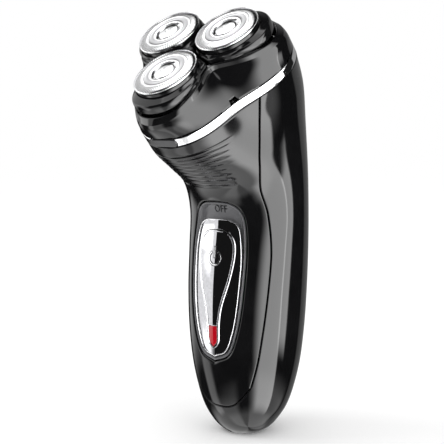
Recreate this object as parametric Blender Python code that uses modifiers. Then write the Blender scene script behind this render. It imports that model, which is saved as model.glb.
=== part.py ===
"""Rotary electric shaver with three pivoting cutter heads and a hinged, pop-up head.

The handle stands along +Z with its switch side towards -Y, and the origin is the centre of the flat
under the handle. The head leans forward by HEAD_TILT: its own frame has x across, b back and n out
of the cutting face. Sizes are in millimetres and MM turns them into metres.
"""
import math

import bmesh
import bpy
from mathutils import Matrix, Vector

MM = 0.001
GAP = 0.3                     # between pieces that sit against each other
RUNNING_GAP = 0.35            # around what slides or turns
TRIM = 0.03                   # taken off a shell's edge to make it flat

# Handle: one row a station, lying on a line from the front to the back of the handle
# (front y, front z, back y, back z, half width, fullness, share of the head's lobed outline)
HANDLE_STATIONS = [
    (-6.0, 0.0, 6.0, 0.0, 6.6, 2.0, 0.0),
    (-8.7, 2.2, 10.0, 2.2, 10.6, 2.0, 0.0),
    (-11.1, 5.4, 13.2, 5.4, 13.4, 2.05, 0.0),
    (-13.5, 10.5, 16.6, 10.5, 16.4, 2.1, 0.0),
    (-15.5, 18.0, 19.4, 18.0, 18.8, 2.15, 0.0),
    (-17.3, 28.5, 22.0, 28.5, 20.8, 2.2, 0.0),
    (-18.3, 42.0, 23.8, 42.0, 22.2, 2.2, 0.0),
    (-17.9, 57.0, 24.7, 57.0, 23.0, 2.2, 0.0),
    (-16.3, 72.0, 24.9, 72.5, 23.4, 2.2, 0.0),
    (-14.9, 85.5, 24.3, 89.0, 23.7, 2.2, 0.0),
    (-19.4, 95.0, 22.4, 107.0, 24.6, 2.2, 0.15),
    (-30.5, 101.8, 18.5, 124.0, 26.6, 2.1, 0.45),
    (-39.3, 107.0, 12.0, 138.0, 29.2, 2.0, 0.8),
]
WALL = 2.0                    # of the handle's two housings
SEAM_GAP = 0.6                # between the two housings, outside; their facets close in on the inside

# Front panel: its half angle at stations of the handle, and its rounded lower edge
SEAM_KEYS = [(4.0, 40.0), (5.5, 50.0), (7.8, 58.0), (9.9, 50.0), (11.8, 66.0), (13.0, 74.0)]
PANEL_BOTTOM = 3.33           # station of the panel's lower edge at the middle
PANEL_CORNER = 4.3            # station where the lower edge has turned into the side seams

# Mesh steps of the handle
HOUSING_ROWS = 11
PANEL_COLUMNS = 10
REAR_COLUMNS = 20
CUP_ROWS = 6
SWITCH_STEPS = 11

# Head
HEAD_TILT = math.radians(40.0)
HEAD_CENTRE = (-31.5, 148.6)  # y and z of the middle of the cutting face
LOBE_RADIUS = 15.5            # from the head's axis to each cutter's axis
LOBES = (("front", 0.0), ("right", 120.0), ("left", -120.0))
BAND_RADIUS = 29.9            # mean radius of the lobed chrome band
BAND_WAVES = (1.0, 0.137, -0.010)
BAND_SHIFT = 0.8              # the band's centre lies this far behind the head's axis
BAND_TOP = -17.4
BAND_BOTTOM = -20.7
BAND_WALL = 1.4
HOUSING_TOP = BAND_BOTTOM - GAP

# Collar of the head: rings of (mean n, cos 3 n), waves as shares of BAND_RADIUS and shift,
# from the rim to the band
COLLAR_RINGS = [
    ((-6.6, -1.4), tuple(BAND_RADIUS * share for share in (0.816, 0.274, -0.03, -0.007)), 0.0),
    ((-8.6, -1.3), tuple(BAND_RADIUS * share for share in (0.839, 0.304, -0.02, 0.0)), 0.0),
    ((-12.0, -0.6), tuple(BAND_RADIUS * share for share in (0.923, 0.224, -0.007, 0.0)), 0.2),
    ((-17.0, 0.0), tuple(BAND_RADIUS * share for share in (1.0, 0.137, -0.010, 0.0)), 0.8),
]
COLLAR_WALL = 1.6
COLLAR_BOTTOM = -17.0
FLOOR_TOP = -11.2             # of the plate inside the collar that carries the pods
FLOOR_THICKNESS = 1.2
FLOOR_HOLE_RADIUS = 5.5
FLOOR_SHARE = 0.955           # of the collar's outline that the floor reaches

# Pods, guards and cutters, in the frame of each lobe
POD_TOP = -2.7
POD_BOTTOM = -9.4
POD_SPLIT = 0.8               # between two pods
POD_RIM_GAP = 0.5             # between a pod and the collar's rim
POD_PIVOT = -6.0
POD_OVERHANG = 0.55           # of a pod's side above the collar's rim
GUARD_RADIUS = LOBE_RADIUS - 3.6
GUARD_HEIGHT = 4.2
GUARD_WALL = 0.8
GUARD_FLOAT = 0.8
GUARD_RECESS = (4.8, 1.0)     # radius and depth of the recess in the middle
CUTTER_RADIUS = GUARD_RADIUS - 1.3
CUTTER_BLADES = 9
CUTTER_HUB_RADIUS = 4.4
CUTTER_BOTTOM = -6.2
COUPLING_LAP = 1.0            # of the spindle in the cutter's hub
COUPLING_SOCKET = 3.3         # across its corners, half
POST_RADIUS = 1.4

# Drive: a pinion on the motor's shaft turns three gears
GEAR_MODULE = 2.0 * LOBE_RADIUS / 50.0
PINION_TEETH = 12
GEAR_TEETH = 38
GEAR_TOP = -20.0
GEAR_THICKNESS = 3.0
SPINDLE_RADIUS = 1.6
SPINDLE_HEAD_RADIUS = 2.0
DECK_TOP = -18.0
DECK_THICKNESS = 1.2
FRAME_TOP = GEAR_TOP - GEAR_THICKNESS - 0.6
FRAME_THICKNESS = 1.2
FRAME_INSET = BAND_RADIUS - 1.6 * LOBE_RADIUS   # of the gear frame's outline from the band's
DECK_POST_RADIUS = 2.3
DECK_POST_CIRCLE = LOBE_RADIUS + 3.5
MOTOR_RADIUS = LOBE_RADIUS - 5.5
MOTOR_LENGTH = 25.0
MOTOR_SHAFT_RADIUS = 1.0

# Hinge at the back of the head and release button at its front
HINGE_N = -17.2
BARREL_RADIUS = 1.3
HINGE_PIN_RADIUS = 0.6
KNUCKLE_HALF = 3.9
LUG_WIDTH = 4.0
LUG_LENGTH = 7.0
YOKE_BACK = -25.4             # b of the back of the release button's yoke
BUTTON_HALF_WIDTH = 6.0
BUTTON_HALF_HEIGHT = 1.5
BUTTON_TRAVEL = 1.2
HOOK_HALF_WIDTH = 2.4

# Switch on the front panel: outlines as (x, z) of their right halves, from the top down
BEZEL_OUTLINE = [(0.0, 90.6), (6.4, 90.0), (10.6, 86.6), (12.4, 79.0), (13.0, 68.0), (12.2, 53.0),
                 (10.2, 41.5), (6.6, 33.2), (0.0, 30.2)]
TEARDROP_OUTLINE = [(0.0, 79.6), (4.4, 79.0), (7.2, 75.6), (7.6, 70.0), (6.0, 61.0), (3.0, 51.0),
                    (2.0, 44.0), (1.7, 38.4), (0.0, 36.2)]
BEZEL_GAP = 0.45
BEZEL_RIM = 1.2
BEZEL_DEPTH = 3.7
BEZEL_FLOOR = 0.9
SWITCH_MARGIN = 1.9           # from the bezel's outline to the switch's
SWITCH_TOP_MARGIN = 5.0       # extra at the top, where the switch slides to
SWITCH_TRAVEL = 3.0
SWITCH_RIM = 0.7
SWITCH_DEPTH = 0.9
SWITCH_THICKNESS = 1.1
INLAY_THICKNESS = 0.6
STEM_Z = 62.0
STEM_HALF = (1.6, 2.4)        # half width and half height
LENS_TOP = 44.0

# Inside the handle
CELL_RADIUS = 7.1
CELL_LENGTH = 48.0
CELL_BOTTOM = 36.0
CELL_X = CELL_RADIUS + GAP
CELL_Y = 4.5
CHASSIS_Y = CELL_Y - CELL_RADIUS - GAP - 1.4
CHASSIS_THICKNESS = 1.4
BOARD_Y = CHASSIS_Y - 1.5
BOARD_THICKNESS = 1.2
SLIDER_THICKNESS = 1.0        # of the small switch on the board
SOCKET_Y = 7.7
SOCKET_HALF = (5.4, 3.0)
SOCKET_MOUTH = 2.9
SOCKET_TOP = 13.0
SOCKET_FLOOR = 9.6
SOCKET_WALL = 0.8
SOCKET_PIN_RADIUS = 0.8
SOCKET_PIN_X = 2.1


# ---------------------------------------------------------------- frames and shapes

def collection(name, hidden=False):
    """A new collection of that name in the scene."""
    made = bpy.data.collections.new(name)
    bpy.context.scene.collection.children.link(made)
    made.hide_render = hidden
    return made


def material(name, colour, roughness, metallic=0.0):
    """A Principled material."""
    made = bpy.data.materials.new(name)
    made.use_nodes = True
    shader = made.node_tree.nodes["Principled BSDF"]
    shader.inputs["Base Color"].default_value = (*colour, 1.0)
    shader.inputs["Roughness"].default_value = roughness
    shader.inputs["Metallic"].default_value = metallic
    made.diffuse_color = (*colour, 1.0)
    return made


def head_to_row(x, b, n):
    """A point of the head's frame in the handle's frame."""
    y = HEAD_CENTRE[0] + b * math.cos(HEAD_TILT) - n * math.sin(HEAD_TILT)
    z = HEAD_CENTRE[1] + b * math.sin(HEAD_TILT) + n * math.cos(HEAD_TILT)
    return x, y, z


def waves(theta, amplitudes):
    """Sum of cos(3 i theta) terms, which repeats in each of the three lobes."""
    return sum(size * math.cos(3 * i * theta) for i, size in enumerate(amplitudes))


def band_radius(theta):
    """Lobed outline of the chrome band; theta runs from the front."""
    return BAND_RADIUS * waves(theta, BAND_WAVES)


def lobed_outline(inset, count):
    """The band's outline in the head's x and b, moved inwards."""
    points = []
    for i in range(count):
        theta = 2 * math.pi * i / count
        radius = band_radius(theta) - inset
        points.append((radius * math.sin(theta), BAND_SHIFT - radius * math.cos(theta)))
    return points


def catmull(before, start, end, after, share):
    """Catmull-Rom curve between two keys."""
    return tuple(
        0.5 * (2 * b + (c - a) * share + (2 * a - 5 * b + 4 * c - d) * share ** 2
               + (3 * b - a - 3 * c + d) * share ** 3)
        for a, b, c, d in zip(before, start, end, after))


def along(keys, position):
    """A smooth curve through equally spaced keys, at a position counted in keys."""
    last = len(keys) - 1
    index = min(max(int(position), 0), last - 1)
    share = position - index
    before = keys[index - 1] if index else keys[0]
    after = keys[index + 2] if index + 2 <= last else keys[last]
    if not index:
        before = tuple(2 * a - b for a, b in zip(keys[0], keys[1]))
    if index + 2 > last:
        after = tuple(2 * a - b for a, b in zip(keys[last], keys[last - 1]))
    return catmull(before, keys[index], keys[index + 1], after, share)


def smooth_through(pairs, position):
    """Height of a smooth curve through (position, value) pairs."""
    if position <= pairs[0][0]:
        return pairs[0][1]
    for (left, low), (right, high) in zip(pairs, pairs[1:]):
        if position <= right:
            share = (position - left) / (right - left)
            return low + (high - low) * share * share * (3 - 2 * share)
    return pairs[-1][1]


FRONT_REACH = band_radius(0.0)
BACK_REACH = band_radius(math.pi)
HALF_WIDTH = max(band_radius(math.radians(a)) * math.sin(math.radians(a)) for a in range(181))
HANDLE_KEYS = HANDLE_STATIONS + [
    (*head_to_row(0, BAND_SHIFT - FRONT_REACH, HOUSING_TOP)[1:],
     *head_to_row(0, BAND_SHIFT + BACK_REACH, HOUSING_TOP)[1:], HALF_WIDTH, 2.0, 1.0)]
TOP_STATION = len(HANDLE_KEYS) - 1.0
HINGE_HALF = KNUCKLE_HALF + GAP + LUG_WIDTH
HINGE_FACE = max(BAND_SHIFT - band_radius(a) * math.cos(a) for a in (math.radians(d) for d in range(150, 181))
                 if band_radius(a) * math.sin(a) < HINGE_HALF + 0.5)
HINGE_B = HINGE_FACE + GAP + 0.1 + BARREL_RADIUS


def handle_point(station, theta):
    """A point of the handle's skin; theta runs from the front towards +X."""
    front_y, front_z, back_y, back_z, half, fullness, lobe = along(HANDLE_KEYS, station)
    front = Vector((front_y, front_z))
    across = front - Vector((back_y, back_z))
    depth = across.length
    across /= depth
    share = 0.5 * (1 - lobe) + lobe * FRONT_REACH / (FRONT_REACH + BACK_REACH)
    centre = front - across * depth * share
    sine, cosine = math.sin(theta), math.cos(theta)
    ahead = cosine > 0
    reach = depth * (share if ahead else 1 - share)
    radius = ((abs(sine) / half) ** fullness + (abs(cosine) / reach) ** fullness) ** (-1 / fullness)
    lobed = band_radius(theta)
    lobed_x = lobed * sine * half / HALF_WIDTH
    lobed_v = lobed * cosine * reach / (FRONT_REACH if ahead else BACK_REACH)
    x = (1 - lobe) * radius * sine + lobe * lobed_x
    v = (1 - lobe) * radius * cosine + lobe * lobed_v
    return Vector((x, centre.x + v * across.x, centre.y + v * across.y))


def seam_angle(station):
    """Half angle of the front panel at a station."""
    return math.radians(smooth_through(SEAM_KEYS, station))


def panel_edge(share):
    """Station of the panel's lower edge, from the middle (0) to a side seam (1)."""
    return PANEL_BOTTOM + (PANEL_CORNER - PANEL_BOTTOM) * abs(share) ** 3


def front_point(x, z, depth=0.0):
    """The point of the handle's front at this x and z, moved inwards by depth."""
    station, theta = 7.0, 0.0
    for _ in range(60):
        here = handle_point(station, theta)
        station = min(max(station + (z - here.z) / 16.0, 0.5), 12.5)
        theta += (x - here.x) / 26.0
    step = 0.05
    along_z = handle_point(station + step, theta) - handle_point(station - step, theta)
    along_x = handle_point(station, theta + step) - handle_point(station, theta - step)
    inwards = along_z.cross(along_x).normalized()
    return handle_point(station, theta) + inwards * depth


# ---------------------------------------------------------------- objects

def add_object(name, mesh, look, parent=None, place=(0, 0, 0), turn=(0, 0, 0)):
    """An object of the shaver, placed in its parent's frame."""
    made = bpy.data.objects.new(name, mesh)
    (PARTS if look else CUTTERS).objects.link(made)
    made.parent = parent
    made.location = Vector(place) * MM
    made.rotation_euler = turn
    if look:
        mesh.materials.clear()
        mesh.materials.append(look)
    else:
        made.hide_render = True
        made.display_type = "WIRE"
    return made


def add_empty(name, parent=None, place=(0, 0, 0), turn=(0, 0, 0)):
    """A reference frame."""
    made = bpy.data.objects.new(name, None)
    PARTS.objects.link(made)
    made.parent = parent
    made.location = Vector(place) * MM
    made.rotation_euler = turn
    made.empty_display_size = 0.005
    return made


def mesh_from(name, points, faces):
    """A mesh from points in millimetres."""
    mesh = bpy.data.meshes.new(name)
    mesh.from_pydata([tuple(Vector(p) * MM) for p in points], [], faces)
    mesh.update()
    return mesh


def loft(name, rings, closed_ends=True):
    """A skin through rings of equally many points, which run anticlockwise seen from the end."""
    count = len(rings[0])
    points = [p for ring in rings for p in ring]
    faces = []
    for row in range(len(rings) - 1):
        for i in range(count):
            a, b = row * count + i, row * count + (i + 1) % count
            faces.append((a, b, b + count, a + count))
    if closed_ends:
        faces.append(tuple(reversed(range(count))))
        faces.append(tuple(range(len(points) - count, len(points))))
    return mesh_from(name, points, faces)


def plate(name, outlines, low, high):
    """A flat plate from closed outlines in x and y, where the inner ones are holes."""
    curve = bpy.data.curves.new(name, "CURVE")
    curve.dimensions = "2D"
    curve.fill_mode = "BOTH"
    curve.extrude = 0.5 * (high - low) * MM
    for outline in outlines:
        spline = curve.splines.new("POLY")
        spline.points.add(len(outline) - 1)
        for point, (x, y) in zip(spline.points, outline):
            point.co = (x * MM, y * MM, 0, 1)
        spline.use_cyclic_u = True
    holder = bpy.data.objects.new(name, curve)
    CUTTERS.objects.link(holder)
    graph = bpy.context.evaluated_depsgraph_get()
    mesh = bpy.data.meshes.new_from_object(holder.evaluated_get(graph))
    bpy.data.objects.remove(holder)
    shape = bmesh.new()
    shape.from_mesh(mesh)
    bmesh.ops.remove_doubles(shape, verts=shape.verts, dist=1e-6)
    bmesh.ops.dissolve_degenerate(shape, edges=shape.edges, dist=1e-6)
    bmesh.ops.translate(shape, verts=shape.verts, vec=(0, 0, 0.5 * (low + high) * MM))
    bmesh.ops.recalc_face_normals(shape, faces=shape.faces)
    shape.to_mesh(mesh)
    shape.free()
    mesh.name = name
    return mesh


def cylinder(name, radius, low, high, sides=24, centre=(0, 0)):
    """A cylinder along z."""
    mesh = bpy.data.meshes.new(name)
    shape = bmesh.new()
    middle = Matrix.Translation(Vector((*centre, 0.5 * (low + high))) * MM)
    bmesh.ops.create_cone(shape, cap_ends=True, segments=sides, radius1=radius * MM,
                          radius2=radius * MM, depth=(high - low) * MM, matrix=middle)
    shape.to_mesh(mesh)
    shape.free()
    return mesh


def box(name, low, high):
    """A box between two corners."""
    mesh = bpy.data.meshes.new(name)
    shape = bmesh.new()
    low, high = Vector(low), Vector(high)
    place = Matrix.Translation((low + high) * 0.5 * MM) @ Matrix.Diagonal((*((high - low) * MM), 1))
    bmesh.ops.create_cube(shape, size=1.0, matrix=place)
    shape.to_mesh(mesh)
    shape.free()
    return mesh


def turned(name, profile, look, parent=None, place=(0, 0, 0), steps=32, turn=(0, 0, 0)):
    """A turned solid from a closed (r, z) profile that runs down its outer side."""
    points = [(r, 0, z) for r, z in profile]
    open_at_axis = profile[0][0] == 0 and profile[-1][0] == 0
    edges = [(i, i + 1) for i in range(len(points) - 1)]
    if not open_at_axis:
        edges.append((len(points) - 1, 0))
    mesh = bpy.data.meshes.new(name)
    mesh.from_pydata([tuple(Vector(p) * MM) for p in points], edges, [])
    made = add_object(name, mesh, look, parent, place, turn)
    screw = made.modifiers.new("turn", "SCREW")
    screw.steps = screw.render_steps = steps
    screw.use_merge_vertices = True
    screw.merge_threshold = 0.00001
    freeze(made)
    fix_normals(made.data)
    return shade(made)


def freeze(made):
    """Apply an object's modifiers to its mesh."""
    graph = bpy.context.evaluated_depsgraph_get()
    mesh = bpy.data.meshes.new_from_object(made.evaluated_get(graph))
    made.modifiers.clear()
    made.data = mesh
    return made


def boolean(made, tool_mesh, operation="DIFFERENCE", place=(0, 0, 0), turn=(0, 0, 0), tool_parent=None):
    """Cut an object with a tool, or join the tool to it, and keep the result as its mesh."""
    tool = add_object(made.name + "_tool", tool_mesh, None, tool_parent or made.parent, place, turn)
    step = made.modifiers.new("cut", "BOOLEAN")
    step.operation = operation
    step.solver = "EXACT"
    step.object = tool
    bpy.context.view_layer.update()
    freeze(made)
    bpy.data.objects.remove(tool)
    return made


def trim(made, low, high):
    """Cut away what lies between two levels of the head's frame."""
    return boolean(made, box("trim", (-60, -60, low), (60, 60, high)), tool_parent=HEAD)


def soften(made, width, segments=1, angle=35):
    """Bevel the sharp edges."""
    step = made.modifiers.new("soft edges", "BEVEL")
    step.width = width * MM
    step.segments = segments
    step.limit_method = "ANGLE"
    step.angle_limit = math.radians(angle)
    return made


def thicken(made, thickness):
    """Give an open skin its wall, inwards."""
    step = made.modifiers.new("wall", "SOLIDIFY")
    step.thickness = thickness * MM
    step.offset = -1
    step.use_even_offset = True
    return made


def shade(made, angle=35):
    """Smooth shading with sharp edges kept."""
    made.data.shade_smooth()
    made.data.set_sharp_from_angle(angle=math.radians(angle))
    return made


def circle(radius, count, centre=(0, 0), start=0.0):
    """Points round a circle."""
    return [(centre[0] + radius * math.cos(start + 2 * math.pi * i / count),
             centre[1] + radius * math.sin(start + 2 * math.pi * i / count)) for i in range(count)]


def pill(half_length, half_height, count=8, centre=(0, 0)):
    """Outline of a bar with round ends."""
    points = []
    for side in (1, -1):
        for i in range(count + 1):
            angle = math.pi * (i / count - 0.5)
            x = half_length - half_height + half_height * math.cos(angle)
            points.append((centre[0] + side * x, centre[1] + side * half_height * math.sin(angle)))
    return points


# ---------------------------------------------------------------- handle

def front_housing():
    """Shield-shaped front panel with a window for the switch."""
    rows, columns = HOUSING_ROWS, PANEL_COLUMNS
    grid = []
    for row in range(rows + 1):
        line = []
        for column in range(columns + 1):
            share = 2.0 * column / columns - 1.0
            low = panel_edge(share)
            station = low + (TOP_STATION - low) * row / rows
            line.append(handle_point(station, share * seam_angle(station)))
        grid.append(line)
    made = add_object("front_housing", open_grid("front_housing", grid), GLOSS_BLACK)
    thicken(made, WALL)
    freeze(made)
    window = outline_ring(BEZEL_OUTLINE, SWITCH_STEPS)
    boolean(made, window_block("switch_window", window, 4.0, -5.0))
    return shade(trim(made, HOUSING_TOP - TRIM, HOUSING_TOP + 20.0))


def open_grid(name, grid):
    """An open skin of rows that run from left to right and stack upwards, seen from outside."""
    columns = len(grid[0])
    faces = []
    for row in range(len(grid) - 1):
        for i in range(columns - 1):
            a = row * columns + i
            faces.append((a, a + 1, a + 1 + columns, a + columns))
    return mesh_from(name, [p for line in grid for p in line], faces)


def rear_housing():
    """The rest of the handle: a closed cup below and an open shell behind the front panel."""
    rear_columns, front_columns = REAR_COLUMNS, PANEL_COLUMNS
    cup_rows, shell_rows = CUP_ROWS, HOUSING_ROWS
    seam_margin = SEAM_GAP / 20.0
    corner = PANEL_CORNER

    def rear_angle(station, column):
        start = seam_angle(station) + seam_margin
        return start + (2 * math.pi - 2 * start) * column / rear_columns

    points, faces = [], []
    ring = rear_columns + front_columns
    for row in range(cup_rows + 1):
        for column in range(ring):
            if column <= rear_columns:
                top, angle = corner, rear_angle(corner, column)
            else:
                share = 2.0 * (column - rear_columns) / front_columns - 1.0
                top = panel_edge(share) - SEAM_GAP / 7.0 * (1 - abs(share) ** 3)
                angle = share * (seam_angle(panel_edge(share)) + seam_margin)
            points.append(handle_point(top * row / cup_rows, angle))
    for row in range(cup_rows):
        for i in range(ring):
            a, b = row * ring + i, row * ring + (i + 1) % ring
            faces.append((a, b, b + ring, a + ring))
    faces.append(tuple(reversed(range(ring))))
    top_row = cup_rows * ring
    above = len(points)
    width = rear_columns + 1
    for row in range(1, shell_rows + 1):
        station = corner + (TOP_STATION - corner) * row / shell_rows
        for column in range(width):
            points.append(handle_point(station, rear_angle(station, column)))
    for row in range(shell_rows):
        for column in range(rear_columns):
            low = top_row + column if row == 0 else above + (row - 1) * width + column
            high = above + row * width + column
            faces.append((low, low + 1, high + 1, high))
    made = add_object("rear_housing", mesh_from("rear_housing", points, faces), GLOSS_BLACK)
    thicken(made, WALL)
    freeze(made)
    trim(made, HOUSING_TOP - TRIM, HOUSING_TOP + 20.0)
    hole = plate("socket_hole", [pill(SOCKET_HALF[0] + GAP, SOCKET_HALF[1] + GAP, 6)], -2.0, 8.0)
    boolean(made, hole, place=(0, SOCKET_Y, 0))
    for side in (-1, 1):
        low = side * (KNUCKLE_HALF + GAP)
        high = low + side * LUG_WIDTH
        lug = plate("hinge_lug", [lug_outline(), circle(HINGE_PIN_RADIUS + GAP, 12, (HINGE_B, HINGE_N))],
                    min(low, high), max(low, high))
        lug.transform(HINGE_SIDE)
        boolean(made, lug, "UNION", tool_parent=HEAD)
    return shade(made)


def lug_outline():
    """Side view, in b and n, of a lug of the hinge on the rear housing."""
    clear = HINGE_FACE + GAP + 0.1
    outline = [(HINGE_FACE - 2.6, HOUSING_TOP - LUG_LENGTH), (HINGE_FACE - 1.2, HOUSING_TOP - GAP),
               (clear, HOUSING_TOP - GAP), (clear, HINGE_N - 1.0)]
    arc = [(HINGE_B + BARREL_RADIUS * math.cos(a), HINGE_N + BARREL_RADIUS * math.sin(a))
           for a in (math.radians(170 - 20 * i) for i in range(10))]
    return list(reversed(outline + arc))


def outline_ring(half, steps, inset=0.0, top_inset=0.0):
    """A closed outline from the keys of its right half, clockwise from the top, moved inwards."""
    top, bottom = half[0][1], half[-1][1]
    middle = 0.5 * (top + bottom)
    right = [along(half, (len(half) - 1) * i / steps) for i in range(steps + 1)]
    shrunk = []
    for i, (x, z) in enumerate(right):
        before = right[i - 1] if i else (-right[1][0], right[1][1])
        after = right[i + 1] if i < steps else (-right[i - 1][0], right[i - 1][1])
        tangent = Vector((after[0] - before[0], after[1] - before[1])).normalized()
        x += tangent.y * inset
        z += -tangent.x * inset
        z -= top_inset * max(0.0, (z - middle) / (top - middle))
        shrunk.append((max(x, 0.0), z))
    left = [(-x, z) for x, z in reversed(shrunk[1:-1])]
    return shrunk + left


def skin_patch(name, ring, depth, rows=4):
    """A part of the handle's front skin inside a closed outline, at a depth."""
    top = max(z for _, z in ring)
    bottom = min(z for _, z in ring)
    wide = max(ring, key=lambda p: p[0])[1]
    middle = min(max(wide, bottom + 2.0), top - 2.0)
    points = [front_point(0.0, middle, depth)]
    for row in range(1, rows + 1):
        share = row / rows
        points += [front_point(x * share, middle + (z - middle) * share, depth) for x, z in ring]
    count = len(ring)
    faces = []
    for i in range(count):
        j = (i + 1) % count
        faces.append((0, 1 + j, 1 + i))
        for row in range(rows - 1):
            a, b = 1 + row * count + i, 1 + row * count + j
            faces.append((a, b, b + count, a + count))
    return mesh_from(name, points, faces)


def window_block(name, ring, outside, inside):
    """A block that follows an outline through the front skin, to cut a window with."""
    outer = [front_point(x, z, -outside) for x, z in ring]
    inner = [front_point(x, z, -inside) for x, z in ring]
    return fix_normals(loft(name, [inner, outer]))


def ring_wall(name, outer, inner, shallow, deep):
    """A wall between two outlines of the front skin, from one depth to another."""
    rings = [[front_point(x, z, d) for x, z in ring]
             for ring, d in ((outer, shallow), (outer, deep), (inner, deep), (inner, shallow))]
    count = len(outer)
    faces = []
    for row in range(4):
        for i in range(count):
            a, b = row * count + i, row * count + (i + 1) % count
            c, d = ((row + 1) % 4) * count + (i + 1) % count, ((row + 1) % 4) * count + i
            faces.append((a, b, c, d))
    return mesh_from(name, [p for ring in rings for p in ring], faces)


def fix_normals(mesh):
    """Turn a closed mesh's faces outwards."""
    shape = bmesh.new()
    shape.from_mesh(mesh)
    bmesh.ops.recalc_face_normals(shape, faces=shape.faces)
    shape.to_mesh(mesh)
    shape.free()
    return mesh


def switch_bezel():
    """Tray in the front panel's window, with a slot for the switch's stem."""
    steps = SWITCH_STEPS
    floor = skin_patch("switch_bezel", outline_ring(BEZEL_OUTLINE, steps, BEZEL_GAP + 0.4 * BEZEL_RIM),
                       BEZEL_DEPTH - BEZEL_FLOOR)
    made = add_object("switch_bezel", floor, SATIN_GREY)
    thicken(made, BEZEL_FLOOR)
    freeze(made)
    fix_normals(made.data)
    wall = ring_wall("bezel_wall", outline_ring(BEZEL_OUTLINE, steps, BEZEL_GAP),
                     outline_ring(BEZEL_OUTLINE, steps, BEZEL_GAP + BEZEL_RIM), 0.2, BEZEL_DEPTH - 0.25)
    boolean(made, fix_normals(wall), "UNION")
    wide, tall = STEM_HALF[0] + 0.8, STEM_HALF[1] + 0.8
    slot = box("stem_slot", (-wide, -20.0, STEM_Z - tall), (wide, -8.0, STEM_Z + tall + SWITCH_TRAVEL))
    boolean(made, slot)
    return shade(made)


def switch_parts(pivot):
    """The sliding switch: plate, chrome rim, teardrop inlay, red lens and stem."""
    steps = SWITCH_STEPS
    outer = outline_ring(BEZEL_OUTLINE, steps, SWITCH_MARGIN, SWITCH_TOP_MARGIN)
    inner = outline_ring(BEZEL_OUTLINE, steps, SWITCH_MARGIN + SWITCH_RIM, SWITCH_TOP_MARGIN)
    face = outline_ring(BEZEL_OUTLINE, steps, SWITCH_MARGIN + SWITCH_RIM + GAP, SWITCH_TOP_MARGIN)
    rim = ring_wall("switch_rim", outer, inner, 0.0, SWITCH_DEPTH + SWITCH_THICKNESS)
    hang(add_object("switch_rim", fix_normals(rim), CHROME), pivot)

    made = add_object("switch_plate", skin_patch("switch_plate", face, SWITCH_DEPTH), MIRROR_BLACK)
    thicken(made, SWITCH_THICKNESS)
    freeze(made)
    fix_normals(made.data)
    hang(shade(made), pivot)

    drop = outline_ring(TEARDROP_OUTLINE, steps)
    upper = [(x, max(z, LENS_TOP + GAP)) for x, z in drop]
    lower = [(x, min(z, LENS_TOP)) for x, z in drop]
    top = SWITCH_DEPTH - GAP - INLAY_THICKNESS
    for name, ring, look in (("switch_inlay", upper, MIRROR_BLACK), ("indicator_lens", lower, RED_LENS)):
        ring = without_repeats(ring)
        made = add_object(name, skin_patch(name, ring, top, 2), look)
        thicken(made, INLAY_THICKNESS)
        freeze(made)
        fix_normals(made.data)
        hang(shade(made), pivot)
    y = front_point(0, STEM_Z).y + SWITCH_DEPTH + SWITCH_THICKNESS
    wide, tall = STEM_HALF
    stem = add_object("switch_stem", box("switch_stem", (-wide, y + 2 * GAP, STEM_Z - tall),
                                         (wide, BOARD_Y - SLIDER_THICKNESS - 2 * GAP, STEM_Z + tall)),
                      MATTE_BLACK)
    hang(stem, pivot)


def without_repeats(ring):
    """Drop points that lie on a straight run between their neighbours' same height."""
    kept = []
    for i, point in enumerate(ring):
        before, after = ring[i - 1], ring[(i + 1) % len(ring)]
        flat = abs(before[1] - point[1]) < 1e-6 and abs(after[1] - point[1]) < 1e-6
        if not flat:
            kept.append(point)
    return kept


def hang(made, pivot):
    """Hang an object that is modelled in the handle's frame on an empty that only moves it."""
    bpy.context.view_layer.update()
    made.parent = pivot
    made.location = -pivot.matrix_world.translation
    return made


# ---------------------------------------------------------------- head

def collar_ring(position, count):
    """A ring of the collar; position 0 is the rim and the last one meets the band."""
    flat = [(*level, *radii, shift) for level, radii, shift in COLLAR_RINGS]
    mean, swing, r0, r3, r6, r9, shift = along(flat, position)
    points = []
    for i in range(count):
        theta = 2 * math.pi * i / count
        radius = waves(theta, (r0, r3, r6, r9))
        points.append((radius * math.sin(theta), shift - radius * math.cos(theta),
                       mean + swing * math.cos(3 * theta)))
    return points


def head_frame(hinge):
    """Collar round the three pods, with the floor that carries them and the hinge's knuckle."""
    count, rows = 45, 4
    rings = [collar_ring((len(COLLAR_RINGS) - 1) * (1 - row / rows), count) for row in range(rows + 1)]
    rings = [list(reversed(ring)) for ring in rings]
    skin = loft("head_frame", rings, closed_ends=False)
    flip = bmesh.new()
    flip.from_mesh(skin)
    bmesh.ops.reverse_faces(flip, faces=flip.faces)
    flip.to_mesh(skin)
    flip.free()
    made = add_object("head_frame", skin, GLOSS_BLACK, HEAD)
    thicken(made, COLLAR_WALL)
    freeze(made)
    trim(made, COLLAR_BOTTOM - 10.0, COLLAR_BOTTOM + TRIM)
    level = collar_ring(2.0, 30)
    edge = [(x * FLOOR_SHARE, b * FLOOR_SHARE) for x, b, _ in level]
    holes = []
    for _, angle in LOBES:
        theta = math.radians(angle)
        centre = (LOBE_RADIUS * math.sin(theta), -LOBE_RADIUS * math.cos(theta))
        holes.append(circle(FLOOR_HOLE_RADIUS, 14, centre))
    floor = plate("floor", [edge] + holes, FLOOR_TOP - FLOOR_THICKNESS, FLOOR_TOP)
    boolean(made, floor, "UNION")
    knuckle = plate("knuckle", [knuckle_outline(), circle(HINGE_PIN_RADIUS + GAP, 12, (HINGE_B, HINGE_N))],
                    -KNUCKLE_HALF, KNUCKLE_HALF)
    knuckle.transform(HINGE_SIDE)
    boolean(made, knuckle, "UNION")
    made.parent = hinge
    made.location = Vector((0, -HINGE_B, -HINGE_N)) * MM
    return shade(made)


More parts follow.
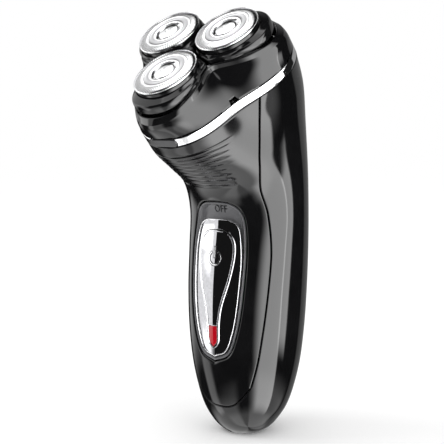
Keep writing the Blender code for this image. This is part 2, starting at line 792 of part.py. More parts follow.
def knuckle_outline():
    """Side view, in b and n, of the hinge's knuckle on the collar."""
    rear = BAND_SHIFT + BACK_REACH
    arc = [(HINGE_B + BARREL_RADIUS * math.cos(a), HINGE_N + BARREL_RADIUS * math.sin(a))
           for a in (math.radians(200 + 20 * i) for i in range(13))]
    return [(rear - 1.0, HINGE_N + 0.3), (rear + 0.3, HINGE_N + 0.3)] + arc + [(rear - 2.0, HINGE_N + 2.4)]


def pod_limit(x, y, inset, side_inset):
    """Below zero inside a pod's outline; x and y are in the frame of its lobe."""
    b = LOBE_RADIUS - y
    radius = math.hypot(x, b)
    theta = math.atan2(x, b)
    rim_radius = waves(theta, COLLAR_RINGS[0][1])
    slope = (waves(theta + 0.01, COLLAR_RINGS[0][1]) - rim_radius) / (0.01 * rim_radius)
    rim = (radius - rim_radius) / math.hypot(1.0, slope) + inset
    side = POD_SPLIT / 2 + side_inset - radius * math.sin(math.pi / 3 - abs(theta))
    inner = POST_RADIUS + POD_RIM_GAP + side_inset - b
    sharp = 1.6
    total = sum(math.exp(sharp * value) for value in (rim, side, inner))
    return math.log(total) / sharp


def pod_outline(inset, side_inset, count):
    """A pod's outline, found by halving along rays from its middle."""
    points = []
    for i in range(count):
        angle = 2 * math.pi * i / count
        low, high = 0.0, 24.0
        for _ in range(24):
            reach = 0.5 * (low + high)
            if pod_limit(reach * math.cos(angle), reach * math.sin(angle), inset, side_inset) < 0:
                low = reach
            else:
                high = reach
        points.append((low * math.cos(angle), low * math.sin(angle)))
    return points


def rim_level(x, y):
    """n of the collar's rim beside a point of a lobe's frame."""
    theta = math.atan2(x, LOBE_RADIUS - y)
    mean, swing = COLLAR_RINGS[0][0]
    return mean + swing * math.cos(3 * theta)


def pod_mesh():
    """A pod as a solid, with its top edge rounded and its lower part narrowed inside the collar."""
    count = 36
    hidden = COLLAR_WALL + POD_RIM_GAP + 0.1
    levels = [(hidden, 0.5, POD_BOTTOM, 0.0), (hidden, 0.1, None, POD_OVERHANG),
              (POD_RIM_GAP, 0.0, None, POD_OVERHANG + 0.25),
              (POD_RIM_GAP + 0.1, 0.0, None, 2.2), (1.1, 0.1, POD_TOP - 0.8, 0.0),
              (2.0, 0.5, POD_TOP - 0.15, 0.0), (2.6, 0.9, POD_TOP, 0.0)]
    rings = []
    for inset, side_inset, level, above_rim in levels:
        outline = pod_outline(inset, side_inset, count)
        rings.append([(x, y, level if level is not None else min(rim_level(x, y) + above_rim, POD_TOP - 0.9))
                      for x, y in outline])
    return fix_normals(loft("pod", rings))


def pods_and_guards(hinge, name, angle):
    """One lobe of the head: pod, guard, its centre disc and the cutter inside it."""
    theta = math.radians(angle)
    place = (LOBE_RADIUS * math.sin(theta), -LOBE_RADIUS * math.cos(theta) - HINGE_B, POD_PIVOT - HINGE_N)
    pivot = add_empty("pod_pivot_" + name, hinge, place, (0, 0, theta))
    lift = (0, 0, -POD_PIVOT)
    pod = add_object("pod_" + name, pod_mesh(), GLOSS_BLACK, pivot, lift)
    seat_bottom = -GUARD_HEIGHT - GUARD_FLOAT - 0.2
    boolean(pod, cylinder("seat", GUARD_RADIUS + RUNNING_GAP, seat_bottom, 1.0, 36), place=lift)
    boolean(pod, cylinder("passage", 9.0, POD_BOTTOM - 1, seat_bottom + 0.5, 24), place=lift)
    shade(pod, 40)

    skin, (recess, sunk) = GUARD_WALL, GUARD_RECESS
    profile = [(0, -sunk), (recess, -sunk), (recess + 0.3, 0), (GUARD_RADIUS - 0.5, 0), (GUARD_RADIUS, -0.5),
               (GUARD_RADIUS, -GUARD_HEIGHT), (GUARD_RADIUS - skin, -GUARD_HEIGHT),
               (GUARD_RADIUS - skin, -skin), (recess + 0.3 + 0.6, -skin), (recess + 0.6, -sunk - 0.6),
               (0, -sunk - 0.6)]
    turned("guard_" + name, profile, CHROME, pivot, lift, 32)
    disc = [(0, -0.2), (recess - 0.7, -0.2), (recess - 0.5, -0.4), (recess - 0.5, -sunk + GAP),
            (0, -sunk + GAP)]
    turned("guard_disc_" + name, disc, CHROME, pivot, lift, 20)
    cutter(pivot, lift, name)


def cutter(pivot, lift, name):
    """Rotating cutter: a disc with a ring of small blades and a hub with a hexagonal socket."""
    blade_top = -GUARD_WALL - GAP
    disc_top = blade_top - 1.6
    hub_top = -GUARD_RECESS[1] - 0.6 - 0.5
    profile = [(0, hub_top), (3.6, hub_top), (CUTTER_HUB_RADIUS, disc_top), (CUTTER_RADIUS, disc_top),
               (CUTTER_RADIUS, disc_top - 0.9), (CUTTER_HUB_RADIUS, disc_top - 0.9),
               (CUTTER_HUB_RADIUS, CUTTER_BOTTOM), (0, CUTTER_BOTTOM)]
    made = turned("cutter_" + name, profile, STEEL, pivot, lift, 24)
    for i in range(CUTTER_BLADES):
        blade = box("blade", (6.4, -0.25, disc_top - 0.3), (CUTTER_RADIUS - 0.2, 0.25, blade_top))
        blade.transform(Matrix.Rotation(2 * math.pi * i / CUTTER_BLADES, 4, "Z"))
        boolean(made, blade, "UNION", place=lift)
    ceiling = CUTTER_BOTTOM + COUPLING_LAP + GUARD_FLOAT + GAP
    socket = cylinder("socket", COUPLING_SOCKET, CUTTER_BOTTOM - 1.0, ceiling, 6)
    boolean(made, socket, place=lift)
    shade(made)


def gear_outline(teeth, gap_at):
    """A gear with straight-flanked teeth; gap_at is the angle of the middle of one gap."""
    pitch_radius = GEAR_MODULE * teeth / 2
    addendum, dedendum = 0.76 * GEAR_MODULE, 1.2 * GEAR_MODULE
    thick = 0.385 * math.pi * GEAR_MODULE
    slope = math.tan(math.radians(24))
    tip, root = pitch_radius + addendum, pitch_radius - dedendum
    tip_half = (thick / 2 - addendum * slope) / tip
    root_half = min((thick / 2 + dedendum * slope) / root, 0.9 * math.pi / teeth)
    points = []
    for i in range(teeth):
        middle = gap_at + 2 * math.pi * (i + 0.5) / teeth
        for radius, angle in ((root, -root_half), (tip, -tip_half), (tip, tip_half), (root, root_half)):
            points.append((radius * math.cos(middle + angle), radius * math.sin(middle + angle)))
    return points


def drive():
    """Motor, its pinion, the three gears with their spindles, and the two plates that hold them."""
    gear_low = GEAR_TOP - GEAR_THICKNESS
    motor_top = FRAME_TOP - FRAME_THICKNESS - GAP
    motor_low = motor_top - MOTOR_LENGTH
    shaft_low = motor_top - 4.0
    can = [(MOTOR_SHAFT_RADIUS + RUNNING_GAP, motor_top), (MOTOR_RADIUS - 0.8, motor_top),
           (MOTOR_RADIUS, motor_top - 0.8), (MOTOR_RADIUS, motor_low + 0.8), (MOTOR_RADIUS - 0.8, motor_low),
           (3.6, motor_low), (3.2, motor_low - 1.6), (0, motor_low - 1.6), (0, shaft_low - 1.0),
           (MOTOR_SHAFT_RADIUS + RUNNING_GAP, shaft_low - 1.0)]
    turned("motor", open_loop(can), STEEL, HEAD, steps=24)

    teeth = gear_outline(PINION_TEETH, math.pi / 2 + math.pi / PINION_TEETH)
    pinion = add_object("motor_pinion", plate("motor_pinion", [teeth], gear_low + 0.3, GEAR_TOP + 0.2),
                        BRASS, HEAD)
    boolean(pinion, cylinder("shaft", MOTOR_SHAFT_RADIUS, shaft_low, GEAR_TOP + 0.45, 16), "UNION")
    shade(pinion, 20)

    frame = lobed_outline(FRAME_INSET, 30)
    bores = [circle(SPINDLE_RADIUS + RUNNING_GAP, 10, lobe_centre(angle)) for _, angle in LOBES]
    shaft_bore = circle(MOTOR_SHAFT_RADIUS + RUNNING_GAP, 10)
    low = FRAME_TOP - FRAME_THICKNESS
    made = add_object("gear_frame", plate("gear_frame", [frame, shaft_bore] + bores, low, FRAME_TOP),
                      MATTE_GREY, HEAD)
    sleeve = [circle(MOTOR_RADIUS + RUNNING_GAP + 1.4, 18), circle(MOTOR_RADIUS + RUNNING_GAP, 18)]
    boolean(made, plate("motor_sleeve", sleeve, low - 9.0, low + 0.4), "UNION")
    for centre in deck_posts():
        post = [circle(DECK_POST_RADIUS, 9, centre), circle(0.9, 6, centre)]
        boolean(made, plate("post", post, FRAME_TOP - 0.4, DECK_TOP - DECK_THICKNESS - GAP), "UNION")
    shade(made)

    deck = lobed_outline(BAND_WALL + GAP, 36)
    holes = [circle(SPINDLE_HEAD_RADIUS + 0.6, 12, lobe_centre(angle)) for _, angle in LOBES]
    holes += [circle(1.3, 8, centre) for centre in deck_posts()]
    made = add_object("deck_plate", plate("deck_plate", [deck] + holes, DECK_TOP - DECK_THICKNESS, DECK_TOP),
                      MATTE_BLACK, HEAD)
    yoke_room = box("yoke_room", (-BUTTON_HALF_WIDTH, -40.0, DECK_TOP - 3),
                    (BUTTON_HALF_WIDTH, YOKE_BACK + BUTTON_TRAVEL + 0.8, DECK_TOP + 3))
    boolean(made, yoke_room)
    for _, angle in LOBES:
        tower = [circle(SPINDLE_HEAD_RADIUS + 1.8, 16, lobe_centre(angle)),
                 circle(SPINDLE_HEAD_RADIUS + 0.6, 12, lobe_centre(angle))]
        boolean(made, plate("tower", tower, DECK_TOP - 0.4, DECK_TOP + 1.6), "UNION")
    shade(made)

    for name, (x, b) in zip(("right", "rear", "left"), deck_posts()):
        screw = add_object("deck_screw_" + name, cylinder("deck_screw", 2.0, GAP, GAP + 0.9, 16), STEEL, HEAD,
                           (x, b, DECK_TOP))
        boolean(screw, cylinder("thread", 0.6, -4.2, 0.8, 10), "UNION", (x, b, DECK_TOP))
        shade(screw)

    for name, angle in LOBES:
        theta = math.radians(angle)
        lobe = add_empty("drive_" + name, HEAD, (*lobe_centre(angle), 0), (0, 0, theta))
        gear = add_object("drive_gear_" + name, plate("drive_gear", [gear_outline(GEAR_TEETH, math.pi / 2)],
                          gear_low, GEAR_TOP), NYLON, lobe)
        tip = CUTTER_BOTTOM + COUPLING_LAP
        boolean(gear, cylinder("spindle", SPINDLE_RADIUS, FRAME_TOP - FRAME_THICKNESS + 0.2, tip - 1.5, 10),
                "UNION")
        boolean(gear, cylinder("spindle_head", SPINDLE_HEAD_RADIUS, tip - 2.2, tip, 6), "UNION")
        boolean(gear, cylinder("gear_hub", 3.2, GEAR_TOP - 0.2, GEAR_TOP + 0.5, 12), "UNION")
        shade(gear, 20)


def open_loop(profile):
    """Start a profile that touches the axis twice at its inner end, so that it closes on the axis."""
    first = next(i for i, (r, _) in enumerate(profile) if r == 0 and profile[i - 1][0] == 0)
    return profile[first:] + profile[:first]


def lobe_centre(angle):
    """x and b of a cutter's axis."""
    theta = math.radians(angle)
    return LOBE_RADIUS * math.sin(theta), -LOBE_RADIUS * math.cos(theta)


def deck_posts():
    """x and b of the three posts between the gears."""
    return [(DECK_POST_CIRCLE * math.sin(a), -DECK_POST_CIRCLE * math.cos(a))
            for a in (math.radians(60), math.radians(180), math.radians(300))]


def band_and_latch(hinge):
    """Chrome band, release button with its yoke, the head's hook, the hinge pin and the centre post."""
    made = add_object("chrome_band", plate("chrome_band", [lobed_outline(0, 48), lobed_outline(BAND_WALL, 48)],
                                           BAND_BOTTOM, BAND_TOP), CHROME, HEAD)
    middle = 0.5 * (BAND_TOP + BAND_BOTTOM)
    recess = plate("recess", [pill(BUTTON_HALF_WIDTH + GAP, BUTTON_HALF_HEIGHT + 0.6)], 20.0, 40.0)
    boolean(made, recess, place=(0, 0, middle), turn=(math.radians(90), 0, 0))
    shade(made)

    face = BAND_SHIFT - FRONT_REACH + 0.3
    button = add_object("release_button", plate("release_button", [pill(BUTTON_HALF_WIDTH, BUTTON_HALF_HEIGHT)],
                                                -face - 3.0, -face), SATIN_GREY, HEAD, (0, 0, middle),
                        (math.radians(90), 0, 0))
    boolean(button, box("yoke", (-4.6, -0.65, -YOKE_BACK), (4.6, 0.6, -face - 2.0)), "UNION", (0, 0, middle),
            (math.radians(90), 0, 0))
    boolean(button, box("window", (-HOOK_HALF_WIDTH - 0.6, -3.0, -YOKE_BACK + 0.8),
                        (HOOK_HALF_WIDTH + 0.6, 3.0, -face - 3.2)), place=(0, 0, middle),
            turn=(math.radians(90), 0, 0))
    shade(button)

    arm_back = YOKE_BACK - 1.4
    hook = add_object("head_hook", box("head_hook", (-HOOK_HALF_WIDTH, arm_back - 1.0, -19.2),
                                       (HOOK_HALF_WIDTH, arm_back, FLOOR_TOP - FLOOR_THICKNESS - GAP)),
                      MATTE_BLACK, hinge, (0, -HINGE_B, -HINGE_N))
    boolean(hook, box("nib", (-HOOK_HALF_WIDTH, arm_back - 0.4, -19.2), (HOOK_HALF_WIDTH, arm_back + 0.3, -18.6)),
            "UNION", (0, -HINGE_B, -HINGE_N))
    boolean(hook, box("foot", (-HOOK_HALF_WIDTH, arm_back - 1.0, FLOOR_TOP - FLOOR_THICKNESS - GAP - 0.8),
                      (HOOK_HALF_WIDTH, arm_back + 2.4, FLOOR_TOP - FLOOR_THICKNESS - GAP)), "UNION",
            (0, -HINGE_B, -HINGE_N))

    pin = cylinder("hinge_pin", HINGE_PIN_RADIUS, -HINGE_HALF, HINGE_HALF, 12)
    add_object("hinge_pin", pin, STEEL, HEAD, (0, HINGE_B, HINGE_N), (0, math.radians(90), 0))
    post = cylinder("centre_post", POST_RADIUS, FLOOR_TOP + GAP, POD_TOP - 0.4, 16)
    shade(soften(add_object("centre_post", post, MATTE_BLACK, hinge, (0, -HINGE_B, -HINGE_N)), 0.3))


# ---------------------------------------------------------------- inside the handle

def power():
    """Cells with their straps, the chassis plate, the circuit board and the charging inlet."""
    for side, name in ((-1, "left"), (1, "right")):
        top = CELL_BOTTOM + CELL_LENGTH
        profile = [(0, top + 1.0), (2.6, top + 1.0), (2.6, top), (CELL_RADIUS - 0.5, top),
                   (CELL_RADIUS, top - 0.5), (CELL_RADIUS, CELL_BOTTOM + 0.5), (CELL_RADIUS - 0.5, CELL_BOTTOM),
                   (0, CELL_BOTTOM)]
        turned("battery_cell_" + name, profile, CELL_GREEN, None, (side * CELL_X, CELL_Y, 0), 20)
    half = CELL_X + 3.0
    low = CELL_BOTTOM - GAP
    high = CELL_BOTTOM + CELL_LENGTH + 1.0 + GAP
    add_object("battery_strap_bottom", box("battery_strap_bottom", (-half, CELL_Y - 2.5, low - 0.4),
                                           (half, CELL_Y + 2.5, low)), STEEL)
    add_object("battery_strap_top", box("battery_strap_top", (-half, CELL_Y - 2.5, high),
                                        (half, CELL_Y + 2.5, high + 0.4)), STEEL)
    chassis = box("chassis", (-13.0, CHASSIS_Y, 30.0), (13.0, CHASSIS_Y + CHASSIS_THICKNESS, 90.0))
    soften(add_object("chassis", chassis, MATTE_GREY), 0.4)
    board = box("circuit_board", (-9.0, BOARD_Y, 33.0), (9.0, BOARD_Y + BOARD_THICKNESS, 86.0))
    add_object("circuit_board", board, BOARD_GREEN)
    switch = box("slide_switch", (-4.0, BOARD_Y - GAP - SLIDER_THICKNESS, STEM_Z - 6.0),
                 (4.0, BOARD_Y - GAP, STEM_Z + 6.0 + SWITCH_TRAVEL))
    add_object("slide_switch", switch, STEEL)
    led = cylinder("indicator_led", 1.2, 0.0, 1.6, 12)
    add_object("indicator_led", led, RED_LENS, None, (0, BOARD_Y - GAP, 40.0), (math.radians(90), 0, 0))

    outer = pill(*SOCKET_HALF, 6)
    made = add_object("charging_socket", plate("charging_socket", [outer], SOCKET_MOUTH, SOCKET_TOP), MATTE_BLACK,
                      None, (0, SOCKET_Y, 0))
    flange = pill(SOCKET_HALF[0] + 2.0, SOCKET_HALF[1] + 1.4, 6)
    boolean(made, plate("flange", [flange], 8.0, 9.2), "UNION", (0, SOCKET_Y, 0))
    inner = pill(SOCKET_HALF[0] - SOCKET_WALL, SOCKET_HALF[1] - SOCKET_WALL, 6)
    boolean(made, plate("recess", [inner], SOCKET_MOUTH - 1.0, SOCKET_FLOOR), place=(0, SOCKET_Y, 0))
    for side in (-1, 1):
        bore = cylinder("pin_bore", SOCKET_PIN_RADIUS + GAP, SOCKET_FLOOR - 1.0, SOCKET_TOP + 1.0, 12,
                        (side * SOCKET_PIN_X, 0))
        boolean(made, bore, place=(0, SOCKET_Y, 0))
    shade(made)
    for side, name in ((-1, "left"), (1, "right")):
        pin = cylinder("charging_pin", SOCKET_PIN_RADIUS, SOCKET_MOUTH + 1.6, SOCKET_TOP + 1.5, 12)
        shade(add_object("charging_pin_" + name, pin, BRASS, None, (side * SOCKET_PIN_X, SOCKET_Y, 0)))


# ---------------------------------------------------------------- the shaver

for old in list(bpy.data.objects):
    bpy.data.objects.remove(old)

PARTS = collection("rotary_shaver")
CUTTERS = collection("tools", hidden=True)

GLOSS_BLACK = material("gloss black plastic", (0.012, 0.012, 0.014), 0.12)
MATTE_BLACK = material("matte black plastic", (0.02, 0.02, 0.022), 0.5)
MIRROR_BLACK = material("mirror black plastic", (0.02, 0.02, 0.022), 0.04, 0.3)
SATIN_GREY = material("satin grey plastic", (0.28, 0.28, 0.29), 0.35)
MATTE_GREY = material("matte grey plastic", (0.35, 0.35, 0.36), 0.6)
NYLON = material("white nylon", (0.8, 0.79, 0.75), 0.45)
CHROME = material("chrome", (0.86, 0.86, 0.87), 0.08, 1.0)
STEEL = material("steel", (0.6, 0.6, 0.62), 0.3, 1.0)
BRASS = material("brass", (0.78, 0.58, 0.24), 0.3, 1.0)
RED_LENS = material("red lens", (0.5, 0.01, 0.02), 0.1)
CELL_GREEN = material("battery sleeve", (0.05, 0.32, 0.16), 0.35)
BOARD_GREEN = material("circuit board", (0.03, 0.22, 0.1), 0.5)

HINGE_SIDE = Matrix(((0, 0, 1, 0), (1, 0, 0, 0), (0, 1, 0, 0), (0, 0, 0, 1)))

HEAD = add_empty("head_axis", None, (0, *HEAD_CENTRE), (HEAD_TILT, 0, 0))
HEAD_HINGE = add_empty("head_hinge", HEAD, (0, HINGE_B, HINGE_N))
SWITCH_SLIDE = add_empty("switch_slide", None, tuple(front_point(0, STEM_Z)))
bpy.context.view_layer.update()

rear_housing()
front_housing()
switch_bezel()
switch_parts(SWITCH_SLIDE)
head_frame(HEAD_HINGE)
for lobe_name, lobe_angle in LOBES:
    pods_and_guards(HEAD_HINGE, lobe_name, lobe_angle)
drive()
band_and_latch(HEAD_HINGE)
power()
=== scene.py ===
"""Looks of a shaver with three rotary cutter heads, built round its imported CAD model.

Lengths are in millimetres until a mesh is made, where MM turns them into metres. The handle stands along
+Z with its switch side towards -Y. The head leans forward: its own frame has x across, b back and n out
of the cutting face, and each lobe of the head has a frame whose z runs along its cutter's axis.
"""

import math

import bmesh
import bpy
from mathutils import Matrix, Vector


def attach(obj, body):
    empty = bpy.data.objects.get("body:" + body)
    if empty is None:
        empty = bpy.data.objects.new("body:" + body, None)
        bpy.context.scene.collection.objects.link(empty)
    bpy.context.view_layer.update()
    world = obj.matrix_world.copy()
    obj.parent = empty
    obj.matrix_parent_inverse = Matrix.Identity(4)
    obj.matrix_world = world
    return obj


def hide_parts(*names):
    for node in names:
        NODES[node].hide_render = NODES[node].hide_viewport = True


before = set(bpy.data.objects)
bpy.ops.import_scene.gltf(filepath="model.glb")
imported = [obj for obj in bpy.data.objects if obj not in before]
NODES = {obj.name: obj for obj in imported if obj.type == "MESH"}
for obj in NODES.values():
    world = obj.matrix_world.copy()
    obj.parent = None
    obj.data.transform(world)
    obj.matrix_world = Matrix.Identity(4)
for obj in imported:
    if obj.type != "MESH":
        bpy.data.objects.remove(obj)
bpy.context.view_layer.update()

MM = 0.001

# Handle: one row a station, on a line from the front to the back of the handle
# (front y, front z, back y, back z, half width, fullness, share of the head's lobed outline)
HANDLE_STATIONS = [
    (-6.0, 0.0, 6.0, 0.0, 6.6, 2.0, 0.0),
    (-8.7, 2.2, 10.0, 2.2, 10.6, 2.0, 0.0),
    (-11.1, 5.4, 13.2, 5.4, 13.4, 2.05, 0.0),
    (-13.5, 10.5, 16.6, 10.5, 16.4, 2.1, 0.0),
    (-15.5, 18.0, 19.4, 18.0, 18.8, 2.15, 0.0),
    (-17.3, 28.5, 22.0, 28.5, 20.8, 2.2, 0.0),
    (-18.3, 42.0, 23.8, 42.0, 22.2, 2.2, 0.0),
    (-17.9, 57.0, 24.7, 57.0, 23.0, 2.2, 0.0),
    (-16.3, 72.0, 24.9, 72.5, 23.4, 2.2, 0.0),
    (-14.9, 85.5, 24.3, 89.0, 23.7, 2.2, 0.0),
    (-19.4, 95.0, 22.4, 107.0, 24.6, 2.2, 0.15),
    (-30.5, 101.8, 18.5, 124.0, 26.6, 2.1, 0.45),
    (-39.3, 107.0, 12.0, 138.0, 29.2, 2.0, 0.8),
]
SEAM_KEYS = [(4.0, 40.0), (5.5, 50.0), (7.8, 58.0), (9.0, 54.5), (9.9, 49.6), (10.8, 56.2),
             (11.7, 65.4), (12.3, 70.4), (13.0, 74.8)]
PANEL_BOTTOM = 3.33
PANEL_CORNER = 4.3
NECK_STATION = 9.9            # where the panel's window part ends and its grip ribs begin
WALL = 2.0
SEAM = 0.35                   # open width of the seam between the two housings
SEAM_EDGE = 0.3               # rounding along it
WINDOW_EDGE = 0.9             # rounding of the panel into the switch's recess
RIBS = (10.05, 12.3, 9)       # first and last station of the grip ribs, and their number
RIB_DEPTH = 0.36
RIB_SLANT = 0.025             # how much further each rib up reaches to the right, in radians
RIB_ANGLES = (-62.0, -40.0, 14.0, 40.0)   # where the ribs begin, are full, thin out and end

# Head
HEAD_TILT = math.radians(40.0)
HEAD_CENTRE = (-31.5, 148.6)
LOBE_RADIUS = 15.5
LOBES = (("front", 0.0), ("right", 120.0), ("left", -120.0))
BAND_RADIUS = 29.9
BAND_WAVES = (1.0, 0.137, -0.010)
BAND_SHIFT = 0.8
BAND_TOP = -17.4
BAND_BOTTOM = -20.7
BAND_WALL = 1.4
BAND_EDGE = 0.22
HOUSING_TOP = BAND_BOTTOM - 0.3
COLLAR_RINGS = [
    ((-6.6, -1.4), (24.4, 8.2, -0.9, -0.2), 0.0),
    ((-8.6, -1.3), (25.1, 9.1, -0.6, 0.0), 0.0),
    ((-12.0, -0.6), (27.6, 6.7, -0.2, 0.0), 0.2),
    ((-17.0, 0.0), (29.9, 4.1, -0.3, 0.0), 0.8),
]
COLLAR_WALL = 1.6
COLLAR_BOTTOM = -17.0
NOTCH = (57.0, 3.4, -15.5)    # angle, width and top of the small notches in the collar's lower edge
FLOOR_TOP = -11.2
FLOOR_THICKNESS = 1.2
FLOOR_HOLE_RADIUS = 5.5
FLOOR_SHARE = 0.955           # of the collar's outline that its floor fills

# Pods and guards
POD_TOP = -2.7
POD_BOTTOM = -9.4
POD_SPLIT = 0.8
POD_RIM_GAP = 0.5
POST_RADIUS = 1.4
GUARD_RADIUS = 11.9
SEAT_RADIUS = 12.25
POD_SLOPE = 0.9               # how far a pod's ledge falls away from its guard
SEAT_BOTTOM = -5.2
SLOTS = 90

# Hinge, button and switch
HINGE_N = -17.2
BARREL_RADIUS = 1.3
HINGE_PIN_RADIUS = 0.6
KNUCKLE_HALF = 3.9
LUG_WIDTH = 4.0
BUTTON_HALF_WIDTH = 6.0
BUTTON_HALF_HEIGHT = 1.5
RECESS_MARGIN = (0.3, 0.6)    # of the button's recess, across and up
YOKE_BACK = -25.4
BEZEL_OUTLINE = [(0.0, 90.6), (6.4, 90.0), (10.6, 86.6), (12.4, 79.0), (13.0, 68.0), (12.2, 53.0),
                 (10.2, 41.5), (6.6, 33.2), (0.0, 30.2)]
TEARDROP_OUTLINE = [(0.0, 79.6), (4.4, 79.0), (7.2, 75.6), (7.6, 70.0), (6.0, 61.0), (3.0, 51.0),
                    (2.0, 44.0), (1.7, 38.4), (0.0, 36.2)]
SWITCH_MARGIN = 1.9
SWITCH_TOP_MARGIN = 5.0
SWITCH_TRAVEL = 3.0
STEM_Z = 62.0
LENS_TOP = 44.0
SYMBOL_MIDDLE = 69.6          # height of the power symbol's ring
SOCKET_HOLE = (5.7, 3.3)      # half length and half height of the hole under the handle
SOCKET_BACK = 7.7             # how far behind the handle's axis it is
FAR = 99.0                    # a distance at which an edge's rounding has no effect
OUTLINE_STEPS = 60


# ---------------------------------------------------------------- shapes

def head_to_row(x, b, n):
    """A point of the head's frame in the handle's frame."""
    y = HEAD_CENTRE[0] + b * math.cos(HEAD_TILT) - n * math.sin(HEAD_TILT)
    z = HEAD_CENTRE[1] + b * math.sin(HEAD_TILT) + n * math.cos(HEAD_TILT)
    return Vector((x, y, z))


def waves(theta, amplitudes):
    """Sum of cos(3 i theta) terms, which repeats in each of the three lobes."""
    return sum(size * math.cos(3 * i * theta) for i, size in enumerate(amplitudes))


def band_radius(theta):
    """Lobed outline of the chrome band; theta runs from the front."""
    return BAND_RADIUS * waves(theta, BAND_WAVES)


def along(keys, position):
    """A smooth curve through equally spaced keys, at a position counted in keys."""
    last = len(keys) - 1
    index = min(max(int(position), 0), last - 1)
    share = position - index
    start, end = keys[index], keys[index + 1]
    before = keys[index - 1] if index else tuple(2 * a - b for a, b in zip(start, end))
    after = keys[index + 2] if index + 2 <= last else tuple(2 * a - b for a, b in zip(end, start))
    return tuple(
        0.5 * (2 * b + (c - a) * share + (2 * a - 5 * b + 4 * c - d) * share ** 2
               + (3 * b - a - 3 * c + d) * share ** 3)
        for a, b, c, d in zip(before, start, end, after))


def smooth_through(pairs, position):
    """Value of a smooth curve through (position, value) pairs."""
    if position <= pairs[0][0]:
        return pairs[0][1]
    slopes = [(pairs[min(i + 1, len(pairs) - 1)][1] - pairs[max(i - 1, 0)][1])
              / (pairs[min(i + 1, len(pairs) - 1)][0] - pairs[max(i - 1, 0)][0])
              for i in range(len(pairs))]
    for i, ((left, low), (right, high)) in enumerate(zip(pairs, pairs[1:])):
        if position <= right:
            width = right - left
            share = (position - left) / width
            rest = 1 - share
            return (low * rest * rest * (1 + 2 * share) + high * share * share * (1 + 2 * rest)
                    + width * share * rest * (slopes[i] * rest - slopes[i + 1] * share))
    return pairs[-1][1]


FRONT_REACH = band_radius(0.0)
BACK_REACH = band_radius(math.pi)
HALF_WIDTH = max(band_radius(math.radians(a)) * math.sin(math.radians(a)) for a in range(181))
HANDLE_KEYS = HANDLE_STATIONS + [
    (*head_to_row(0, BAND_SHIFT - FRONT_REACH, HOUSING_TOP)[1:],
     *head_to_row(0, BAND_SHIFT + BACK_REACH, HOUSING_TOP)[1:], HALF_WIDTH, 2.0, 1.0)]
TOP_STATION = len(HANDLE_KEYS) - 1.0
HINGE_HALF = KNUCKLE_HALF + 0.3 + LUG_WIDTH
REAR_ANGLES = [math.radians(degrees) for degrees in range(150, 181)]
HINGE_FACE = max(BAND_SHIFT - band_radius(a) * math.cos(a) for a in REAR_ANGLES
                 if band_radius(a) * math.sin(a) < HINGE_HALF + 0.5)
HINGE_B = HINGE_FACE + 0.4 + BARREL_RADIUS
BAND_MIDDLE = 0.5 * (BAND_TOP + BAND_BOTTOM)
RECESS_HALF = BUTTON_HALF_HEIGHT + RECESS_MARGIN[1]


def handle_point(station, theta):
    """A point of the handle's skin; theta runs from the front towards +X."""
    front_y, front_z, back_y, back_z, half, fullness, lobe = along(HANDLE_KEYS, station)
    across_y, across_z = front_y - back_y, front_z - back_z
    depth = math.hypot(across_y, across_z)
    across_y, across_z = across_y / depth, across_z / depth
    share = 0.5 * (1 - lobe) + lobe * FRONT_REACH / (FRONT_REACH + BACK_REACH)
    sine, cosine = math.sin(theta), math.cos(theta)
    ahead = cosine > 0
    reach = depth * (share if ahead else 1 - share)
    radius = ((abs(sine) / half) ** fullness + (abs(cosine) / reach) ** fullness) ** (-1 / fullness)
    lobed = band_radius(theta)
    lobed_x = lobed * sine * half / HALF_WIDTH
    lobed_v = lobed * cosine * reach / (FRONT_REACH if ahead else BACK_REACH)
    x = (1 - lobe) * radius * sine + lobe * lobed_x
    v = (1 - lobe) * radius * cosine + lobe * lobed_v - depth * share
    return Vector((x, front_y + v * across_y, front_z + v * across_z))


def skin(station, theta, step=0.02):
    """A point of the handle's skin, its outward normal, and the lengths of a unit of station and of angle."""
    rise = (handle_point(station + step, theta) - handle_point(station - step, theta)) / (2 * step)
    turn = (handle_point(station, theta + step) - handle_point(station, theta - step)) / (2 * step)
    return handle_point(station, theta), turn.cross(rise).normalized(), rise.length, turn.length


def seam_angle(station):
    """Half angle of the front panel at a station."""
    return math.radians(smooth_through(SEAM_KEYS, station))


def panel_edge(share):
    """Station of the panel's lower edge, from the middle (0) to a side seam (1)."""
    return PANEL_BOTTOM + (PANEL_CORNER - PANEL_BOTTOM) * abs(share) ** 3


def skin_place(x, z):
    """Station and angle of the front's point at this x and z."""
    station, theta, step = 7.0, 0.0, 0.01
    for _ in range(9):
        here = handle_point(station, theta)
        rise = (handle_point(station + step, theta) - here) / step
        turn = (handle_point(station, theta + step) - here) / step
        miss_x, miss_z = x - here.x, z - here.z
        det = rise.x * turn.z - rise.z * turn.x
        station += (miss_x * turn.z - miss_z * turn.x) / det
        theta += (rise.x * miss_z - rise.z * miss_x) / det
    return station, theta


def front_point(x, z, depth=0.0):
    """The point of the handle's front at this x and z, moved inwards by depth."""
    point, normal, _, _ = skin(*skin_place(x, z))
    return point - normal * depth


def rolled(distance, radius):
    """How far a skin drops at a distance from its rounded edge."""
    short = radius - max(distance, 0.0)
    return radius - math.sqrt(radius * radius - short * short) if short > 0 else 0.0


def smoothstep(low, high, value):
    """0 below low, 1 above high, and smooth between."""
    share = min(max((value - low) / (high - low), 0.0), 1.0)
    return share * share * (3 - 2 * share)


def eased(count, both=True):
    """Shares from 0 to 1 that crowd towards the ends, or towards 1 only."""
    if both:
        return [0.5 - 0.5 * math.cos(math.pi * i / count) for i in range(count + 1)]
    return [math.sin(0.5 * math.pi * i / count) for i in range(count + 1)]


def circle(radius, count, centre=(0, 0)):
    """Points round a circle."""
    return [(centre[0] + radius * math.cos(2 * math.pi * i / count),
             centre[1] + radius * math.sin(2 * math.pi * i / count)) for i in range(count)]


